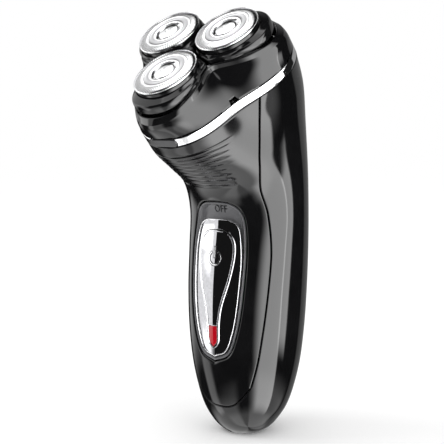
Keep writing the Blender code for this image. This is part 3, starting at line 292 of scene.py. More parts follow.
def pill(half_length, half_height, count=16):
    """Outline of a bar with round ends."""
    points = []
    for side in (1, -1):
        for i in range(count + 1):
            angle = math.pi * (i / count - 0.5)
            points.append((side * (half_length - half_height + half_height * math.cos(angle)),
                           side * half_height * math.sin(angle)))
    return points


def outline_ring(half, inset=0.0, top_inset=0.0, steps=OUTLINE_STEPS):
    """A closed outline from the keys of its right half, clockwise from the top, moved inwards."""
    top, bottom = half[0][1], half[-1][1]
    middle = 0.5 * (top + bottom)
    right = [along(half, (len(half) - 1) * i / steps) for i in range(steps + 1)]
    shrunk = []
    for i, (x, z) in enumerate(right):
        before = right[i - 1] if i else (-right[1][0], right[1][1])
        after = right[i + 1] if i < steps else (-right[i - 1][0], right[i - 1][1])
        tangent = Vector((after[0] - before[0], after[1] - before[1])).normalized()
        x += tangent.y * inset
        z += -tangent.x * inset
        z -= top_inset * max(0.0, (z - middle) / (top - middle))
        shrunk.append((max(x, 0.0), z))
    return shrunk + [(-x, z) for x, z in reversed(shrunk[1:-1])]


# ---------------------------------------------------------------- meshes

def mesh_from(name, points, faces):
    """A mesh from points in millimetres."""
    mesh = bpy.data.meshes.new(name)
    mesh.from_pydata([tuple(Vector(p) * MM) for p in points], [], faces)
    mesh.update()
    return mesh


def add_piece(name, mesh, look, body=None, replaces=(), angle=35):
    """A piece of the shaver: smooth shaded, with its material, on its body."""
    made = bpy.data.objects.new(name, mesh)
    bpy.context.scene.collection.objects.link(made)
    if look:
        mesh.materials.clear()
        mesh.materials.append(look)
    mesh.shade_smooth()
    mesh.set_sharp_from_angle(angle=math.radians(angle))
    if body:
        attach(made, body)
        if replaces:
            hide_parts(*replaces)
    return made


def frozen(made):
    """The mesh of an object after its modifiers, and the object is gone."""
    graph = bpy.context.evaluated_depsgraph_get()
    mesh = bpy.data.meshes.new_from_object(made.evaluated_get(graph))
    bpy.data.objects.remove(made)
    return mesh


def holder(mesh):
    """A passing object for a mesh that modifiers work on."""
    made = bpy.data.objects.new("work", mesh)
    bpy.context.scene.collection.objects.link(made)
    return made


def cut(mesh, tool, operation="DIFFERENCE"):
    """Cut a mesh with another, or join the other to it."""
    made, knife = holder(mesh), holder(tool)
    step = made.modifiers.new("cut", "BOOLEAN")
    step.operation, step.solver, step.object = operation, "EXACT", knife
    result = frozen(made)
    bpy.data.objects.remove(knife)
    return result


def thickened(mesh, thickness):
    """An open skin with its wall, inwards."""
    made = holder(mesh)
    step = made.modifiers.new("wall", "SOLIDIFY")
    step.thickness, step.offset = thickness * MM, -1
    return frozen(made)


def softened(mesh, width, segments=2, angle=35):
    """Sharp edges rounded."""
    made = holder(mesh)
    step = made.modifiers.new("soft edges", "BEVEL")
    step.width, step.segments, step.limit_method = width * MM, segments, "ANGLE"
    step.angle_limit = math.radians(angle)
    return frozen(made)


def edited(mesh, work):
    """The mesh after work(shape) on its shape, with the faces turned outwards."""
    shape = bmesh.new()
    shape.from_mesh(mesh)
    work(shape)
    bmesh.ops.recalc_face_normals(shape, faces=shape.faces)
    shape.to_mesh(mesh)
    shape.free()
    return mesh


def tidied(mesh, weld=0.001):
    """Doubles merged and faces turned outwards."""
    def merge(shape):
        bmesh.ops.remove_doubles(shape, verts=shape.verts, dist=weld * MM)
        bmesh.ops.dissolve_degenerate(shape, edges=shape.edges, dist=0.1 * weld * MM)
    return edited(mesh, merge)


def cropped(mesh, level):
    """What lies below a level of the head's frame, with the cut closed."""
    point = head_to_row(0, 0, level) * MM
    up = head_to_row(0, 0, 1) - head_to_row(0, 0, 0)

    def trim(shape):
        bmesh.ops.bisect_plane(shape, geom=shape.verts[:] + shape.edges[:] + shape.faces[:], plane_co=point,
                               plane_no=up, clear_outer=True, dist=1e-7)
        rim = [e for e in shape.edges if e.is_boundary]
        if rim:
            bmesh.ops.edgenet_fill(shape, edges=rim)
    return edited(mesh, trim)


def joined(*meshes):
    """Several meshes as one."""
    shape = bmesh.new()
    for mesh in meshes:
        shape.from_mesh(mesh)
    shape.to_mesh(meshes[0])
    shape.free()
    return meshes[0]


def strip_faces(low, high, count, wrap=False):
    """Faces between two rows of count points, from the numbers of the rows' first points."""
    pairs = [(i, (i + 1) % count) for i in range(count if wrap else count - 1)]
    return [(low + i, low + j, high + j, high + i) for i, j in pairs]


def grid(name, rows, wrap_rows=False, wrap_columns=False):
    """A skin of rows of points that run to the right and stack upwards, seen from outside."""
    count = len(rows[0])
    faces = []
    for r in range(len(rows) - (0 if wrap_rows else 1)):
        faces += strip_faces(r * count, (r + 1) % len(rows) * count, count, wrap_columns)
    return mesh_from(name, [p for row in rows for p in row], faces)


def plate(name, outlines, low, high):
    """A flat plate from closed outlines in x and y, where the inner ones are holes."""
    curve = bpy.data.curves.new(name, "CURVE")
    curve.dimensions, curve.fill_mode, curve.extrude = "2D", "BOTH", 0.5 * (high - low) * MM
    for outline in outlines:
        spline = curve.splines.new("POLY")
        spline.points.add(len(outline) - 1)
        for point, (x, y) in zip(spline.points, outline):
            point.co = (x * MM, y * MM, 0, 1)
        spline.use_cyclic_u = True
    mesh = frozen(holder(curve))
    mesh.transform(Matrix.Translation((0, 0, 0.5 * (low + high) * MM)))
    return tidied(mesh)


def box(name, low, high, width=0.0):
    """A box between two corners, with rounded edges if a width is given."""
    low, high = Vector(low), Vector(high)
    shape = bmesh.new()
    place = Matrix.Translation((low + high) * 0.5 * MM) @ Matrix.Diagonal((*((high - low) * MM), 1))
    bmesh.ops.create_cube(shape, size=1.0, matrix=place)
    mesh = bpy.data.meshes.new(name)
    shape.to_mesh(mesh)
    shape.free()
    return softened(mesh, width) if width else mesh


def turned(name, profile, steps=96):
    """A turned solid from an (r, z) profile that runs from the axis, over the top and down to the axis."""
    points = [(0, 0, profile[0][1])]
    rings = [p for p in profile if p[0] > 0]
    for r, z in rings:
        points += [(x, y, z) for x, y in circle(r, steps)]
    points.append((0, 0, profile[-1][1]))
    faces = []
    for i in range(steps):
        j = (i + 1) % steps
        faces.append((0, 1 + i, 1 + j))
        for ring in range(len(rings) - 1):
            a, b = 1 + ring * steps + i, 1 + ring * steps + j
            faces.append((a, a + steps, b + steps, b))
        end = 1 + (len(rings) - 1) * steps
        faces.append((len(points) - 1, end + j, end + i))
    return mesh_from(name, points, faces)


def turned_ring(name, profile, steps=96):
    """A turned ring from a closed (r, z) profile that runs clockwise, seen with r to the right."""
    rows = [[(x, y, z) for x, y in circle(r, steps)] for r, z in reversed(profile)]
    return tidied(grid(name, rows, wrap_rows=True, wrap_columns=True))


HEAD = Matrix.Translation(Vector((0, *HEAD_CENTRE)) * MM) @ Matrix.Rotation(HEAD_TILT, 4, "X")
SIDEWAYS = Matrix(((0, 0, 1, 0), (1, 0, 0, 0), (0, 1, 0, 0), (0, 0, 0, 1)))
UPRIGHT = Matrix.Translation((0, 0, BAND_MIDDLE * MM)) @ Matrix.Rotation(math.radians(90), 4, "X")


def lobe_matrix(angle):
    """From the frame of a lobe to the handle's frame."""
    theta = math.radians(angle)
    centre = Vector((LOBE_RADIUS * math.sin(theta), -LOBE_RADIUS * math.cos(theta), 0)) * MM
    return HEAD @ Matrix.Translation(centre) @ Matrix.Rotation(theta, 4, "Z")


def placed(mesh, matrix):
    """A copy of a mesh, moved."""
    copy = mesh.copy()
    copy.transform(matrix)
    return copy


# ---------------------------------------------------------------- node trees

class Wire:
    """An output socket that Python's operators add Math nodes to."""

    def __init__(self, graph, socket):
        self.graph, self.socket = graph, socket

    def __getitem__(self, name):
        return Wire(self.graph, self.socket.node.outputs[name])

    def math(self, operation, *others):
        return self.graph.add("ShaderNodeMath", {"operation": operation}, self, *others)

    def __add__(self, other):
        return self.math("ADD", other)

    def __sub__(self, other):
        return self.math("SUBTRACT", other)

    def __mul__(self, other):
        return self.math("MULTIPLY", other)

    def __truediv__(self, other):
        return self.math("DIVIDE", other)

    def __rsub__(self, other):
        return self.graph.add("ShaderNodeMath", {"operation": "SUBTRACT"}, other, self)

    __radd__, __rmul__ = __add__, __mul__

    def __gt__(self, other):
        return self.math("GREATER_THAN", other)

    def ramp(self, low, high, start=0.0, end=1.0):
        """From start to end as this goes from low to high, smoothly."""
        return self.graph.add("ShaderNodeMapRange", {"interpolation_type": "SMOOTHSTEP"},
                              self, low, high, start, end)


class Graph:
    """A node tree that is written as expressions."""

    def __init__(self, tree):
        self.tree = tree
        tree.nodes.clear()

    def add(self, kind, settings=None, *values, **named):
        """A node: its settings, then its sockets' values or links, by number or by name."""
        node = self.tree.nodes.new(kind)
        for key, value in (settings or {}).items():
            setattr(node, key, value)
        for key, value in [*enumerate(values), *named.items()]:
            socket = node.inputs[key.replace("_", " ") if isinstance(key, str) else key]
            if isinstance(value, Wire):
                self.tree.links.new(value.socket, socket)
            else:
                socket.default_value = value
        return Wire(self, node.outputs[0]) if node.outputs else node

    def mix(self, share, first, second):
        """A colour between two colours."""
        node = self.tree.nodes.new("ShaderNodeMix")
        node.data_type = "RGBA"
        for index, value in ((0, share), (6, first), (7, second)):
            if isinstance(value, Wire):
                self.tree.links.new(value.socket, node.inputs[index])
            else:
                node.inputs[index].default_value = value if index == 0 else (*value, 1.0)
        return Wire(self, node.outputs[2])


def noise(graph, vector, scale, detail=2.0):
    """Noise of a grain in millimetres."""
    return graph.add("ShaderNodeTexNoise", None, Vector=vector, Scale=scale / MM, Detail=detail)


def finish(name, paint, **fixed):
    """A material: paint(graph, place) gives its varying sockets, and fixed ones are set as they are."""
    made = bpy.data.materials.new(name)
    made.use_nodes = True
    graph = Graph(made.node_tree)
    place = graph.add("ShaderNodeTexCoord")["Object"]
    shader = graph.add("ShaderNodeBsdfPrincipled", None, **fixed, **paint(graph, place))
    graph.add("ShaderNodeOutputMaterial", None, Surface=shader)
    return made


def plastic(name, colour, roughness, grain=0.15, relief=0.004, **fixed):
    """Moulded plastic: a little uneven in colour and polish, with a fine skin; lengths in millimetres."""
    def paint(graph, place):
        cloud = noise(graph, place, 0.06, 3.0)
        fine = noise(graph, place, 1.0 / grain)
        light = tuple(min(1.0, c * 1.25 + 0.001) for c in colour)
        return {
            "Base_Color": graph.mix(cloud.ramp(0.35, 0.65), colour, light),
            "Roughness": cloud.ramp(0.3, 0.7, roughness * 0.85, roughness * 1.2),
            "Normal": graph.add("ShaderNodeBump", None, Strength=0.5, Distance=relief * MM, Height=fine),
        }
    return finish(name, paint, **fixed)


def metal(name, colour, roughness, stretch=(1.0, 1.0, 1.0), relief=0.003, grain=0.2, **fixed):
    """Metal with faint marks that can be drawn out along an axis."""
    def paint(graph, place):
        drawn = graph.add("ShaderNodeMapping", None, Vector=place, Scale=stretch)
        marks = noise(graph, drawn, 1.0 / grain, 3.0)
        cloud = noise(graph, place, 0.12)
        dull = tuple(c * 0.9 for c in colour)
        return {
            "Base_Color": graph.mix(marks.ramp(0.35, 0.65), dull, colour),
            "Roughness": cloud.ramp(0.3, 0.7, roughness * 0.8, roughness * 1.25),
            "Normal": graph.add("ShaderNodeBump", None, Strength=0.4, Distance=relief * MM, Height=marks),
        }
    return finish(name, paint, Metallic=1.0, **fixed)


def ring_brushed(name, colour, roughness, relief):
    """Metal brushed round the axis of its lobe, read from the piece's own map."""
    def paint(graph, _):
        flat = graph.add("ShaderNodeUVMap", {"uv_map": "lobe"})
        radius = graph.add("ShaderNodeVectorMath", {"operation": "LENGTH"}, flat)["Value"]
        lines = graph.add("ShaderNodeTexNoise", {"noise_dimensions": "1D"}, W=radius, Scale=9.0, Detail=2.0)
        cloud = graph.add("ShaderNodeTexNoise", None, Vector=flat, Scale=0.8)
        dull = tuple(c * 0.86 for c in colour)
        return {
            "Base_Color": graph.mix(lines.ramp(0.3, 0.7), dull, colour),
            "Roughness": cloud.ramp(0.3, 0.7, roughness * 0.85, roughness * 1.2),
            "Normal": graph.add("ShaderNodeBump", None, Strength=0.6, Distance=relief * MM, Height=lines),
        }
    return finish(name, paint, Metallic=1.0)


def board_look(graph, place):
    """Solder mask with pale pads in rows."""
    cells = graph.add("ShaderNodeTexVoronoi", {"distance": "CHEBYCHEV"}, Vector=place, Scale=0.4 / MM,
                      Randomness=0.35)
    pad = 1.0 - cells.ramp(0.16, 0.2)
    return {"Base_Color": graph.mix(pad, (0.015, 0.12, 0.05), (0.6, 0.6, 0.55)),
            "Roughness": pad.ramp(0.0, 1.0, 0.35, 0.2)}


GLOSS_BLACK = plastic("gloss black plastic", (0.0042, 0.0042, 0.0046), 0.055, 0.5, 0.0012)
PANEL_BLACK = plastic("panel black plastic", (0.0042, 0.0042, 0.0046), 0.075, 0.5, 0.0015)
SATIN_BLACK = plastic("satin black plastic", (0.008, 0.008, 0.0085), 0.32, 0.12, 0.004)
MATTE_BLACK = plastic("matte black plastic", (0.012, 0.012, 0.013), 0.5, 0.12, 0.006)
SATIN_GREY = plastic("satin grey plastic", (0.11, 0.11, 0.115), 0.28, 0.12, 0.003)
BUTTON_GREY = plastic("dark grey button", (0.035, 0.035, 0.037), 0.3, 0.12, 0.003)
MATTE_GREY = plastic("matte grey plastic", (0.33, 0.33, 0.34), 0.55, 0.12, 0.006)
NYLON = plastic("white nylon", (0.72, 0.71, 0.66), 0.45, 0.2, 0.005)
SLEEVE_GREEN = plastic("shrink sleeve", (0.03, 0.28, 0.13), 0.3, 0.6, 0.01)
MIRROR_BLACK = metal("dark mirror", (0.62, 0.62, 0.64), 0.035, grain=1.0, relief=0.0004)
CHROME = metal("chrome", (0.93, 0.93, 0.94), 0.05, grain=0.6, relief=0.0006)
# The real cutters are bright steel; this steel is darkened so the guards' slots show painted shade.
SHADE_DARKENED_STEEL = metal("steel darkened as painted shade", (0.12, 0.12, 0.125), 0.35, (1.0, 0.2, 1.0))
STEEL = metal("spring steel", (0.58, 0.58, 0.6), 0.3, (1.0, 0.2, 1.0))
BRASS = metal("brass", (0.72, 0.5, 0.2), 0.26)
GUARD_CHROME = ring_brushed("guard chrome", (0.92, 0.92, 0.93), 0.10, 0.0006)
GUARD_SATIN = ring_brushed("guard satin track", (0.5, 0.5, 0.51), 0.32, 0.004)
ICON_CHROME = metal("icon chrome", (0.8, 0.8, 0.81), 0.12)
LETTER_GREY = plastic("recess lettering", (0.012, 0.012, 0.013), 0.3, 0.2, 0.003)
RED_LENS = plastic("red lens", (0.42, 0.004, 0.012), 0.05, 0.6, 0.001, Coat_Weight=1.0, Coat_Roughness=0.03)
BOARD_GREEN = finish("circuit board", board_look)


# ---------------------------------------------------------------- handle

def edge_drop(station, theta, rise, turn, point):
    """How far the front panel drops towards its seams, its lower edge and its top."""
    seam = seam_angle(station)
    ahead, up = point.y - HEAD_CENTRE[0], point.z - HEAD_CENTRE[1]
    level = up * math.cos(HEAD_TILT) - ahead * math.sin(HEAD_TILT)
    share = min(1.0, abs(theta) / seam)
    return (rolled((seam - abs(theta)) * turn, SEAM_EDGE)
            + rolled((station - panel_edge(share)) * rise, SEAM_EDGE)
            + rolled(HOUSING_TOP - level, SEAM_EDGE))


def rib_drop(station, theta):
    """Depth of the grooves between the grip ribs."""
    first, last, count = RIBS
    phase = (station - first) / (last - first) * count
    if not 0.0 <= phase <= count:
        return 0.0
    a, b, c, d = (math.radians(angle) for angle in RIB_ANGLES)
    fade = smoothstep(a, b, theta) * (1 - smoothstep(c, d, theta - RIB_SLANT * (phase - count / 2)))
    return RIB_DEPTH * fade * (0.5 - 0.5 * math.cos(2 * math.pi * phase)) ** 2.2


def panel_point(station, theta, window=FAR):
    """A point of the front panel, with its edges rolled over; window is the distance to the recess."""
    point, normal, rise, turn = skin(station, theta)
    drop = (edge_drop(station, theta, rise, turn, point) + rolled(window, WINDOW_EDGE)
            + rib_drop(station, theta))
    return point - normal * drop


def window_fan(columns, sides, bottom, rings):
    """The panel round the switch: rings of points from its window out to its edges."""
    neck = [1 - 2 * s for s in eased(columns)]
    outer = [(NECK_STATION, -s * seam_angle(NECK_STATION)) for s in neck[:-1]]
    spots = [NECK_STATION + (PANEL_CORNER - NECK_STATION) * i / sides for i in range(sides)]
    outer += [(s, seam_angle(s)) for s in spots]
    for i in range(bottom):
        share = 1 - 2 * eased(bottom)[i]
        low = panel_edge(share)
        outer.append((low, share * seam_angle(low)))
    outer += [(s, -seam_angle(s)) for s in reversed([*spots[1:], PANEL_CORNER])]
    ring = outline_ring(BEZEL_OUTLINE)
    half = len(BEZEL_OUTLINE) - 1
    places = [skin_place(x, z) for x, z in ring]

    def window_place(key):
        """Station and angle of the window's edge at a position counted in keys, clockwise from the top."""
        spot = (key % (2 * half)) / (2 * half) * len(places)
        first = int(spot)
        share = spot - first
        a, b = places[first % len(places)], places[(first + 1) % len(places)]
        return tuple(p + (q - p) * share for p, q in zip(a, b))

    corners = (-2.1, 2.1, 7.2, 8.8, 13.9)     # where the fan's four sides meet, counted in keys
    keys = []
    for start, end, count in zip(corners, corners[1:], (columns, sides, bottom, sides)):
        keys += [start + (end - start) * i / count for i in range(count)]
    inner = [window_place(key) for key in keys]
    rows = [[] for _ in range(rings + 1)]
    for (s0, t0), (s1, t1) in zip(inner, outer):
        start = handle_point(s0, t0)
        for row, share in zip(rows, eased(rings)):
            station, theta = s0 + (s1 - s0) * share, t0 + (t1 - t0) * share
            away = (handle_point(station, theta) - start).length
            row.append(panel_point(station, theta, away))
    return rows


def front_shell():
    """Front panel: a ring of skin round the switch's window, and the ribbed neck above it."""
    columns, sides, bottom, rings, neck_rows = 84, 120, 60, 30, 132
    fan = window_fan(columns, sides, bottom, rings)
    points = [p for row in fan for p in row]
    count = len(fan[0])
    faces = []
    for ring in range(rings):
        faces += strip_faces(ring * count, (ring + 1) * count, count, wrap=True)
    last = rings * count
    neck = TOP_STATION - NECK_STATION
    stations = [NECK_STATION + neck * (i + 1) / neck_rows for i in range(neck_rows - 1)]
    stations += [TOP_STATION - 0.012, TOP_STATION - 0.006, TOP_STATION - 0.002, TOP_STATION + 0.004]
    for station in stations:
        faces += strip_faces(last, len(points), columns + 1)
        last = len(points)
        points += [panel_point(station, (2 * share - 1) * seam_angle(station)) for share in eased(columns)]
    mesh = thickened(mesh_from("front_shell", points, faces), WALL)
    add_piece("front_shell", cropped(mesh, HOUSING_TOP), PANEL_BLACK, "handle", ["front_housing"])


def rear_shell():
    """The rest of the handle: a cup below and a shell behind the front panel, with the hinge's lugs."""
    rear, front, cup, shell = 132, 60, 44, 110
    margin = SEAM / 20.0

    def rear_angle(station, share):
        start = seam_angle(station) + margin
        return start + (2 * math.pi - 2 * start) * share

    def lowered(station, theta, gap):
        point, normal, _, _ = skin(station, theta)
        return point - normal * rolled(gap, SEAM_EDGE)

    def rear_point(station, share):
        _, _, _, turn = skin(station, rear_angle(station, share))
        wide = 2 * math.pi - 2 * (seam_angle(station) + margin)
        return lowered(station, rear_angle(station, share), min(share, 1 - share) * wide * turn)

    points, faces = [], []
    rear_shares = eased(rear)
    front_shares = [2 * s - 1 for s in eased(front)][1:-1]
    ring = len(rear_shares) + len(front_shares)
    spots = [(PANEL_CORNER, rear_angle(PANEL_CORNER, share), True) for share in rear_shares]
    for share in front_shares:
        low = panel_edge(share)
        spots.append((low - SEAM / 7.0 * (1 - abs(share) ** 3), share * (seam_angle(low) + margin), False))
    for up in eased(cup, both=False):
        for top, theta, behind in spots:
            station = top * up
            gap = FAR if behind else (top - station) * 7.0
            points.append(lowered(station, theta, gap))
    for row in range(cup):
        faces += strip_faces(row * ring, (row + 1) * ring, ring, wrap=True)
    faces.append(tuple(reversed(range(ring))))
    last = cup * ring
    behind = TOP_STATION - PANEL_CORNER
    stations = [PANEL_CORNER + behind * (i + 1) / shell for i in range(shell - 1)]
    for station in [*stations, TOP_STATION - 0.004, TOP_STATION + 0.004]:
        faces += strip_faces(last, len(points), rear + 1)
        last = len(points)
        points += [rear_point(station, share) for share in rear_shares]
    mesh = cropped(thickened(mesh_from("rear_shell", points, faces), WALL), HOUSING_TOP)
    hole = plate("socket_hole", [pill(*SOCKET_HOLE)], -2.0, 8.0)
    mesh = cut(mesh, placed(hole, Matrix.Translation((0, SOCKET_BACK * MM, 0))))
    for side in (-1, 1):
        low = side * (KNUCKLE_HALF + 0.3)
        high = low + side * LUG_WIDTH
        outline = [lug_outline(), [(HINGE_B + x, HINGE_N + n) for x, n in circle(HINGE_PIN_RADIUS + 0.3, 24)]]
        lug = softened(plate("lug", outline, min(low, high), max(low, high)), 0.45, 3)
        mesh = joined(mesh, placed(lug, HEAD @ SIDEWAYS))
    add_piece("rear_shell", mesh, GLOSS_BLACK, "handle", ["rear_housing"])


def lug_outline():
    """Side view, in b and n, of a lug of the hinge."""
    clear = HINGE_FACE + 0.4
    outline = [(HINGE_FACE - 2.6, HOUSING_TOP - 7.0), (HINGE_FACE - 1.2, HOUSING_TOP - 0.3),
               (clear, HOUSING_TOP - 0.3), (clear, HINGE_N - 1.0)]
    arc = [(HINGE_B + BARREL_RADIUS * math.cos(a), HINGE_N + BARREL_RADIUS * math.sin(a))
           for a in (math.radians(170 - 10 * i) for i in range(20))]
    return outline + arc


# ---------------------------------------------------------------- switch

def closed_band(name, half, profile, margin=0.0, top_margin=0.0, raised=False):
    """A closed bead along an outline; profile lists (inset, depth) round it; raised: along the crease."""
    rows = [[front_point(x, z, depth - (crease(x) if raised else 0.0))
             for x, z in outline_ring(half, margin + inset, top_margin)] for inset, depth in profile]
    return tidied(grid(name, rows, wrap_rows=True, wrap_columns=True))


def bezel():
    """Tray round the switch: its sloping wall and its floor with the stem's slot."""
    profile = [(0.45, 0.5), (0.55, 0.32), (0.75, 0.3), (1.0, 0.55), (1.35, 1.3), (1.62, 2.1), (1.85, 2.6),
               (2.3, 2.8)]
    rows = [[front_point(x, z, depth) for x, z in outline_ring(BEZEL_OUTLINE, inset)]
            for inset, depth in profile]
    middle = 0.5 * (BEZEL_OUTLINE[0][1] + BEZEL_OUTLINE[-1][1])
    inner = outline_ring(BEZEL_OUTLINE, 2.3)
    for share in (0.85, 0.68, 0.5, 0.32, 0.16):
        rows.append([front_point(x * share, middle + (z - middle) * share, 2.8) for x, z in inner])
    count = len(inner)
    mesh = grid("bezel_tray", rows, wrap_columns=True)
    shape = bmesh.new()
    shape.from_mesh(mesh)
    shape.verts.ensure_lookup_table()
    shape.faces.new([shape.verts[len(shape.verts) - count + i] for i in range(count)])
    bmesh.ops.recalc_face_normals(shape, faces=shape.faces)
    if sum(f.normal.y * f.calc_area() for f in shape.faces) > 0:
        bmesh.ops.reverse_faces(shape, faces=shape.faces)
    shape.to_mesh(mesh)
    shape.free()
    mesh = thickened(mesh, 0.8)
    slot = box("slot", (-2.4, -20.0, STEM_Z - 3.2), (2.4, -8.0, STEM_Z + 3.2 + SWITCH_TRAVEL))
    add_piece("bezel_tray", cut(mesh, slot), SATIN_GREY, "handle", ["switch_bezel"], 50)


def wrapped_text(name, words, size, middle, depth, thickness):
    """Raised words that follow the front's skin."""
    curve = bpy.data.curves.new(name, "FONT")
    curve.body, curve.size, curve.align_x, curve.align_y = words, size * MM, "CENTER", "CENTER"
    curve.extrude, curve.resolution_u, curve.space_character = 0.5 * thickness * MM, 3, 1.1
    mesh = tidied(frozen(holder(curve)))
    for vertex in mesh.vertices:
        x, up, out = (value / MM for value in vertex.co)
        vertex.co = front_point(x, middle + up, depth - out) * MM
    return mesh


def crease(x):
    """How much the switch's face is raised towards its middle line."""
    return 0.34 * (1 - min(abs(x) / 9.0, 1.0))


def faced(name, rows, thickness):
    """A closed patch of the switch's face: rows of ((x, z), depth) from the rim to the middle line."""
    count, half = len(rows[0]), len(rows[0]) // 2
    rows = [[(spot, depth + thickness) for spot, depth in rows[0]]] + rows
    points = [front_point(x, z, depth) for row in rows for (x, z), depth in row]
    faces = []
    for r in range(len(rows) - 1):
        faces += strip_faces(r * count, (r + 1) * count, count, wrap=True)
    for first, turn in ((0, 1), ((len(rows) - 1) * count, -1)):
        closing = [(0, 1, count - 1), (half - 1, half, half + 1)]
        closing += [(i, i + 1, count - i - 1, count - i) for i in range(1, half - 1)]
        faces += [tuple(first + i for i in face[::turn]) for face in closing]
    return tidied(mesh_from(name, points, faces), 0.0005)


def cut_ring(ring, level, side):
    """The part of a symmetrical outline above (side 1) or below (side -1) a level, closed along it."""
    half = ring[:len(ring) // 2 + 1]
    kept = [(x, z) for x, z in half if (z - level) * side > 0.05]
    for (x0, z0), (x1, z1) in zip(half, half[1:]):
        if (z0 - level) * (z1 - level) <= 0 and z0 != z1:
            edge = x0 + (x1 - x0) * (level - z0) / (z1 - z0)
    closing = [(edge, level), (edge * 0.5, level), (0.0, level)]
    right = kept + closing if side > 0 else closing[::-1] + kept
    return right + [(-x, z) for x, z in reversed(right[1:-1])]


def shrunk_rows(ring, low, high, edge, shares):
    """Rows of a raised face inside an outline: a rolled rim, then shares of the way to the middle line."""
    top, bottom = max(z for _, z in ring), min(z for _, z in ring)
    rows = []
    for roll in (0.0, 0.12, 0.3, 0.55, 1.0):
        row = []
        for x, z in ring:
            inner_x = x - math.copysign(min(edge * roll, abs(x)), x) if x else 0.0
            inner_z = min(max(z, bottom + edge * roll), top - edge * roll)
            lift = math.sqrt(1 - (1 - roll) ** 2)
            row.append(((inner_x, inner_z), low + (high - low) * lift - crease(inner_x)))
        rows.append(row)
    rim = [spot for spot, _ in rows[-1]]
    for share in shares:
        rows.append([((x * (1 - share), z), high - crease(x * (1 - share))) for x, z in rim])
    return rows


def switch():
    """Sliding switch: mirror plate with a chrome rim, a teardrop inlay, a red lens and the power symbol."""
    bead = [(0.0, 1.9), (0.0, 0.5), (0.03, 0.34), (0.1, 0.25), (0.19, 0.25), (0.27, 0.34), (0.3, 0.5),
            (0.3, 1.9)]
    rim = closed_band("switch_bead", BEZEL_OUTLINE, bead, SWITCH_MARGIN, SWITCH_TOP_MARGIN)
    add_piece("switch_bead", rim, CHROME, "switch", ["switch_rim"], 60)

    face = outline_ring(BEZEL_OUTLINE, SWITCH_MARGIN + 0.34, SWITCH_TOP_MARGIN)
    shares = (0.1, 0.2, 0.3, 0.4, 0.5, 0.6, 0.7, 0.8, 0.9, 0.96, 0.985)
    plate_rows = shrunk_rows(face, 1.0, 0.85, 0.25, shares)
    add_piece("mirror_plate", faced("mirror_plate", plate_rows, 0.9), MIRROR_BLACK, "switch",
              ["switch_plate"], 20)

    drop = outline_ring(TEARDROP_OUTLINE)
    upper = cut_ring(drop, LENS_TOP + 0.08, 1)
    lower = cut_ring(drop, LENS_TOP, -1)
    for name, ring, look, node, slot in (
            ("teardrop_inlay", upper, MIRROR_BLACK, "switch_inlay", "mirror_black"),
            ("red_lens", lower, RED_LENS, "indicator_lens", "red_lens")):
        mesh = faced(name, shrunk_rows(ring, 0.8, 0.35, 0.3, (0.15, 0.3, 0.5, 0.7, 0.85, 0.97)), 0.25)
        add_piece(name, mesh, look, "switch", [node], 20)

    lines = []
    for outset in (0.12, 0.62):
        profile = [(0.0, 0.95), (-0.01, 0.32), (-0.07, 0.2), (-0.17, 0.2), (-0.23, 0.32), (-0.24, 0.95)]
        lines.append(closed_band("teardrop_lines", TEARDROP_OUTLINE, profile, -outset, raised=True))
    add_piece("teardrop_lines", joined(*lines), CHROME, "switch", angle=60)
    groove = [(-0.38, 0.95), (-0.38, 0.3), (-0.6, 0.3), (-0.6, 0.95)]
    mesh = closed_band("teardrop_groove", TEARDROP_OUTLINE, groove, raised=True)
    add_piece("teardrop_groove", mesh, SATIN_BLACK, "switch")
    power_symbol()


def power_symbol():
    """Raised power symbol on the teardrop, an open ring and a bar, with a dark border that is painted shade
    round its raised edge.
    """
    radius, gap = 2.6, math.radians(33)
    # The satin black border is painted shade round the raised symbol.
    for name, half, low, high, look in (("power_shade_border", 0.55, -0.12, 0.06, SATIN_BLACK),
                                        ("power_symbol", 0.24, -0.1, 0.14, ICON_CHROME)):
        arcs = [gap - 0.1 * half + (2 * math.pi - 2 * gap + 0.2 * half) * i / 40 for i in range(41)]
        ring = [((radius + half) * math.sin(a), (radius + half) * math.cos(a)) for a in arcs]
        ring += [((radius - half) * math.sin(a), (radius - half) * math.cos(a)) for a in reversed(arcs)]
        bar = [(-half, 3.9 + half), (-half, 0.4 - half), (half, 0.4 - half), (half, 3.9 + half)]
        mesh = joined(plate(name, [ring], low, high), plate("bar", [bar], low, high))
        mesh = softened(mesh, 0.05, 1)
        for vertex in mesh.vertices:
            x, up, out = (value / MM for value in vertex.co)
            vertex.co = front_point(x, SYMBOL_MIDDLE + up, 0.32 - crease(x) - out) * MM
        add_piece(name, mesh, look, "switch")


# ---------------------------------------------------------------- head

def collar_point(theta, place):
    """A point of the collar: place 0 to 1 is the strip under its rim, and 1 to 3 the wall below."""
    keys = [(*level, *radii, shift) for level, radii, shift in COLLAR_RINGS]
    if place < 1:
        values = tuple(a + (b - a) * place for a, b in zip(keys[0], keys[1]))
    else:
        values = along(keys[1:], place - 1)
    mean, swing, r0, r3, r6, r9, shift = values
    radius = waves(theta, (r0, r3, r6, r9))
    height = mean + swing * math.cos(3 * theta)
    return Vector((radius * math.sin(theta), shift - radius * math.cos(theta), height))


def collar_foot(theta):
    """Level of the collar's lower edge, raised over the release button and at the two notches."""
    level = COLLAR_BOTTOM
    _, wide, top = NOTCH
    for side in (-1, 1):
        away = abs(theta - side * math.radians(NOTCH[0])) * BAND_RADIUS
        level = max(level, COLLAR_BOTTOM + (top - COLLAR_BOTTOM) * smoothstep(wide / 2 + 0.3, wide / 2, away))
    x = abs(BAND_RADIUS * 1.12 * math.sin(theta))
    if abs(theta) < 0.5:
        half = RECESS_HALF + 0.45
        over = max(0.0, x - (BUTTON_HALF_WIDTH + RECESS_MARGIN[0] - half + 0.45))
        if over < half:
            level = max(level, BAND_MIDDLE + math.sqrt(half * half - over * over))
    return level


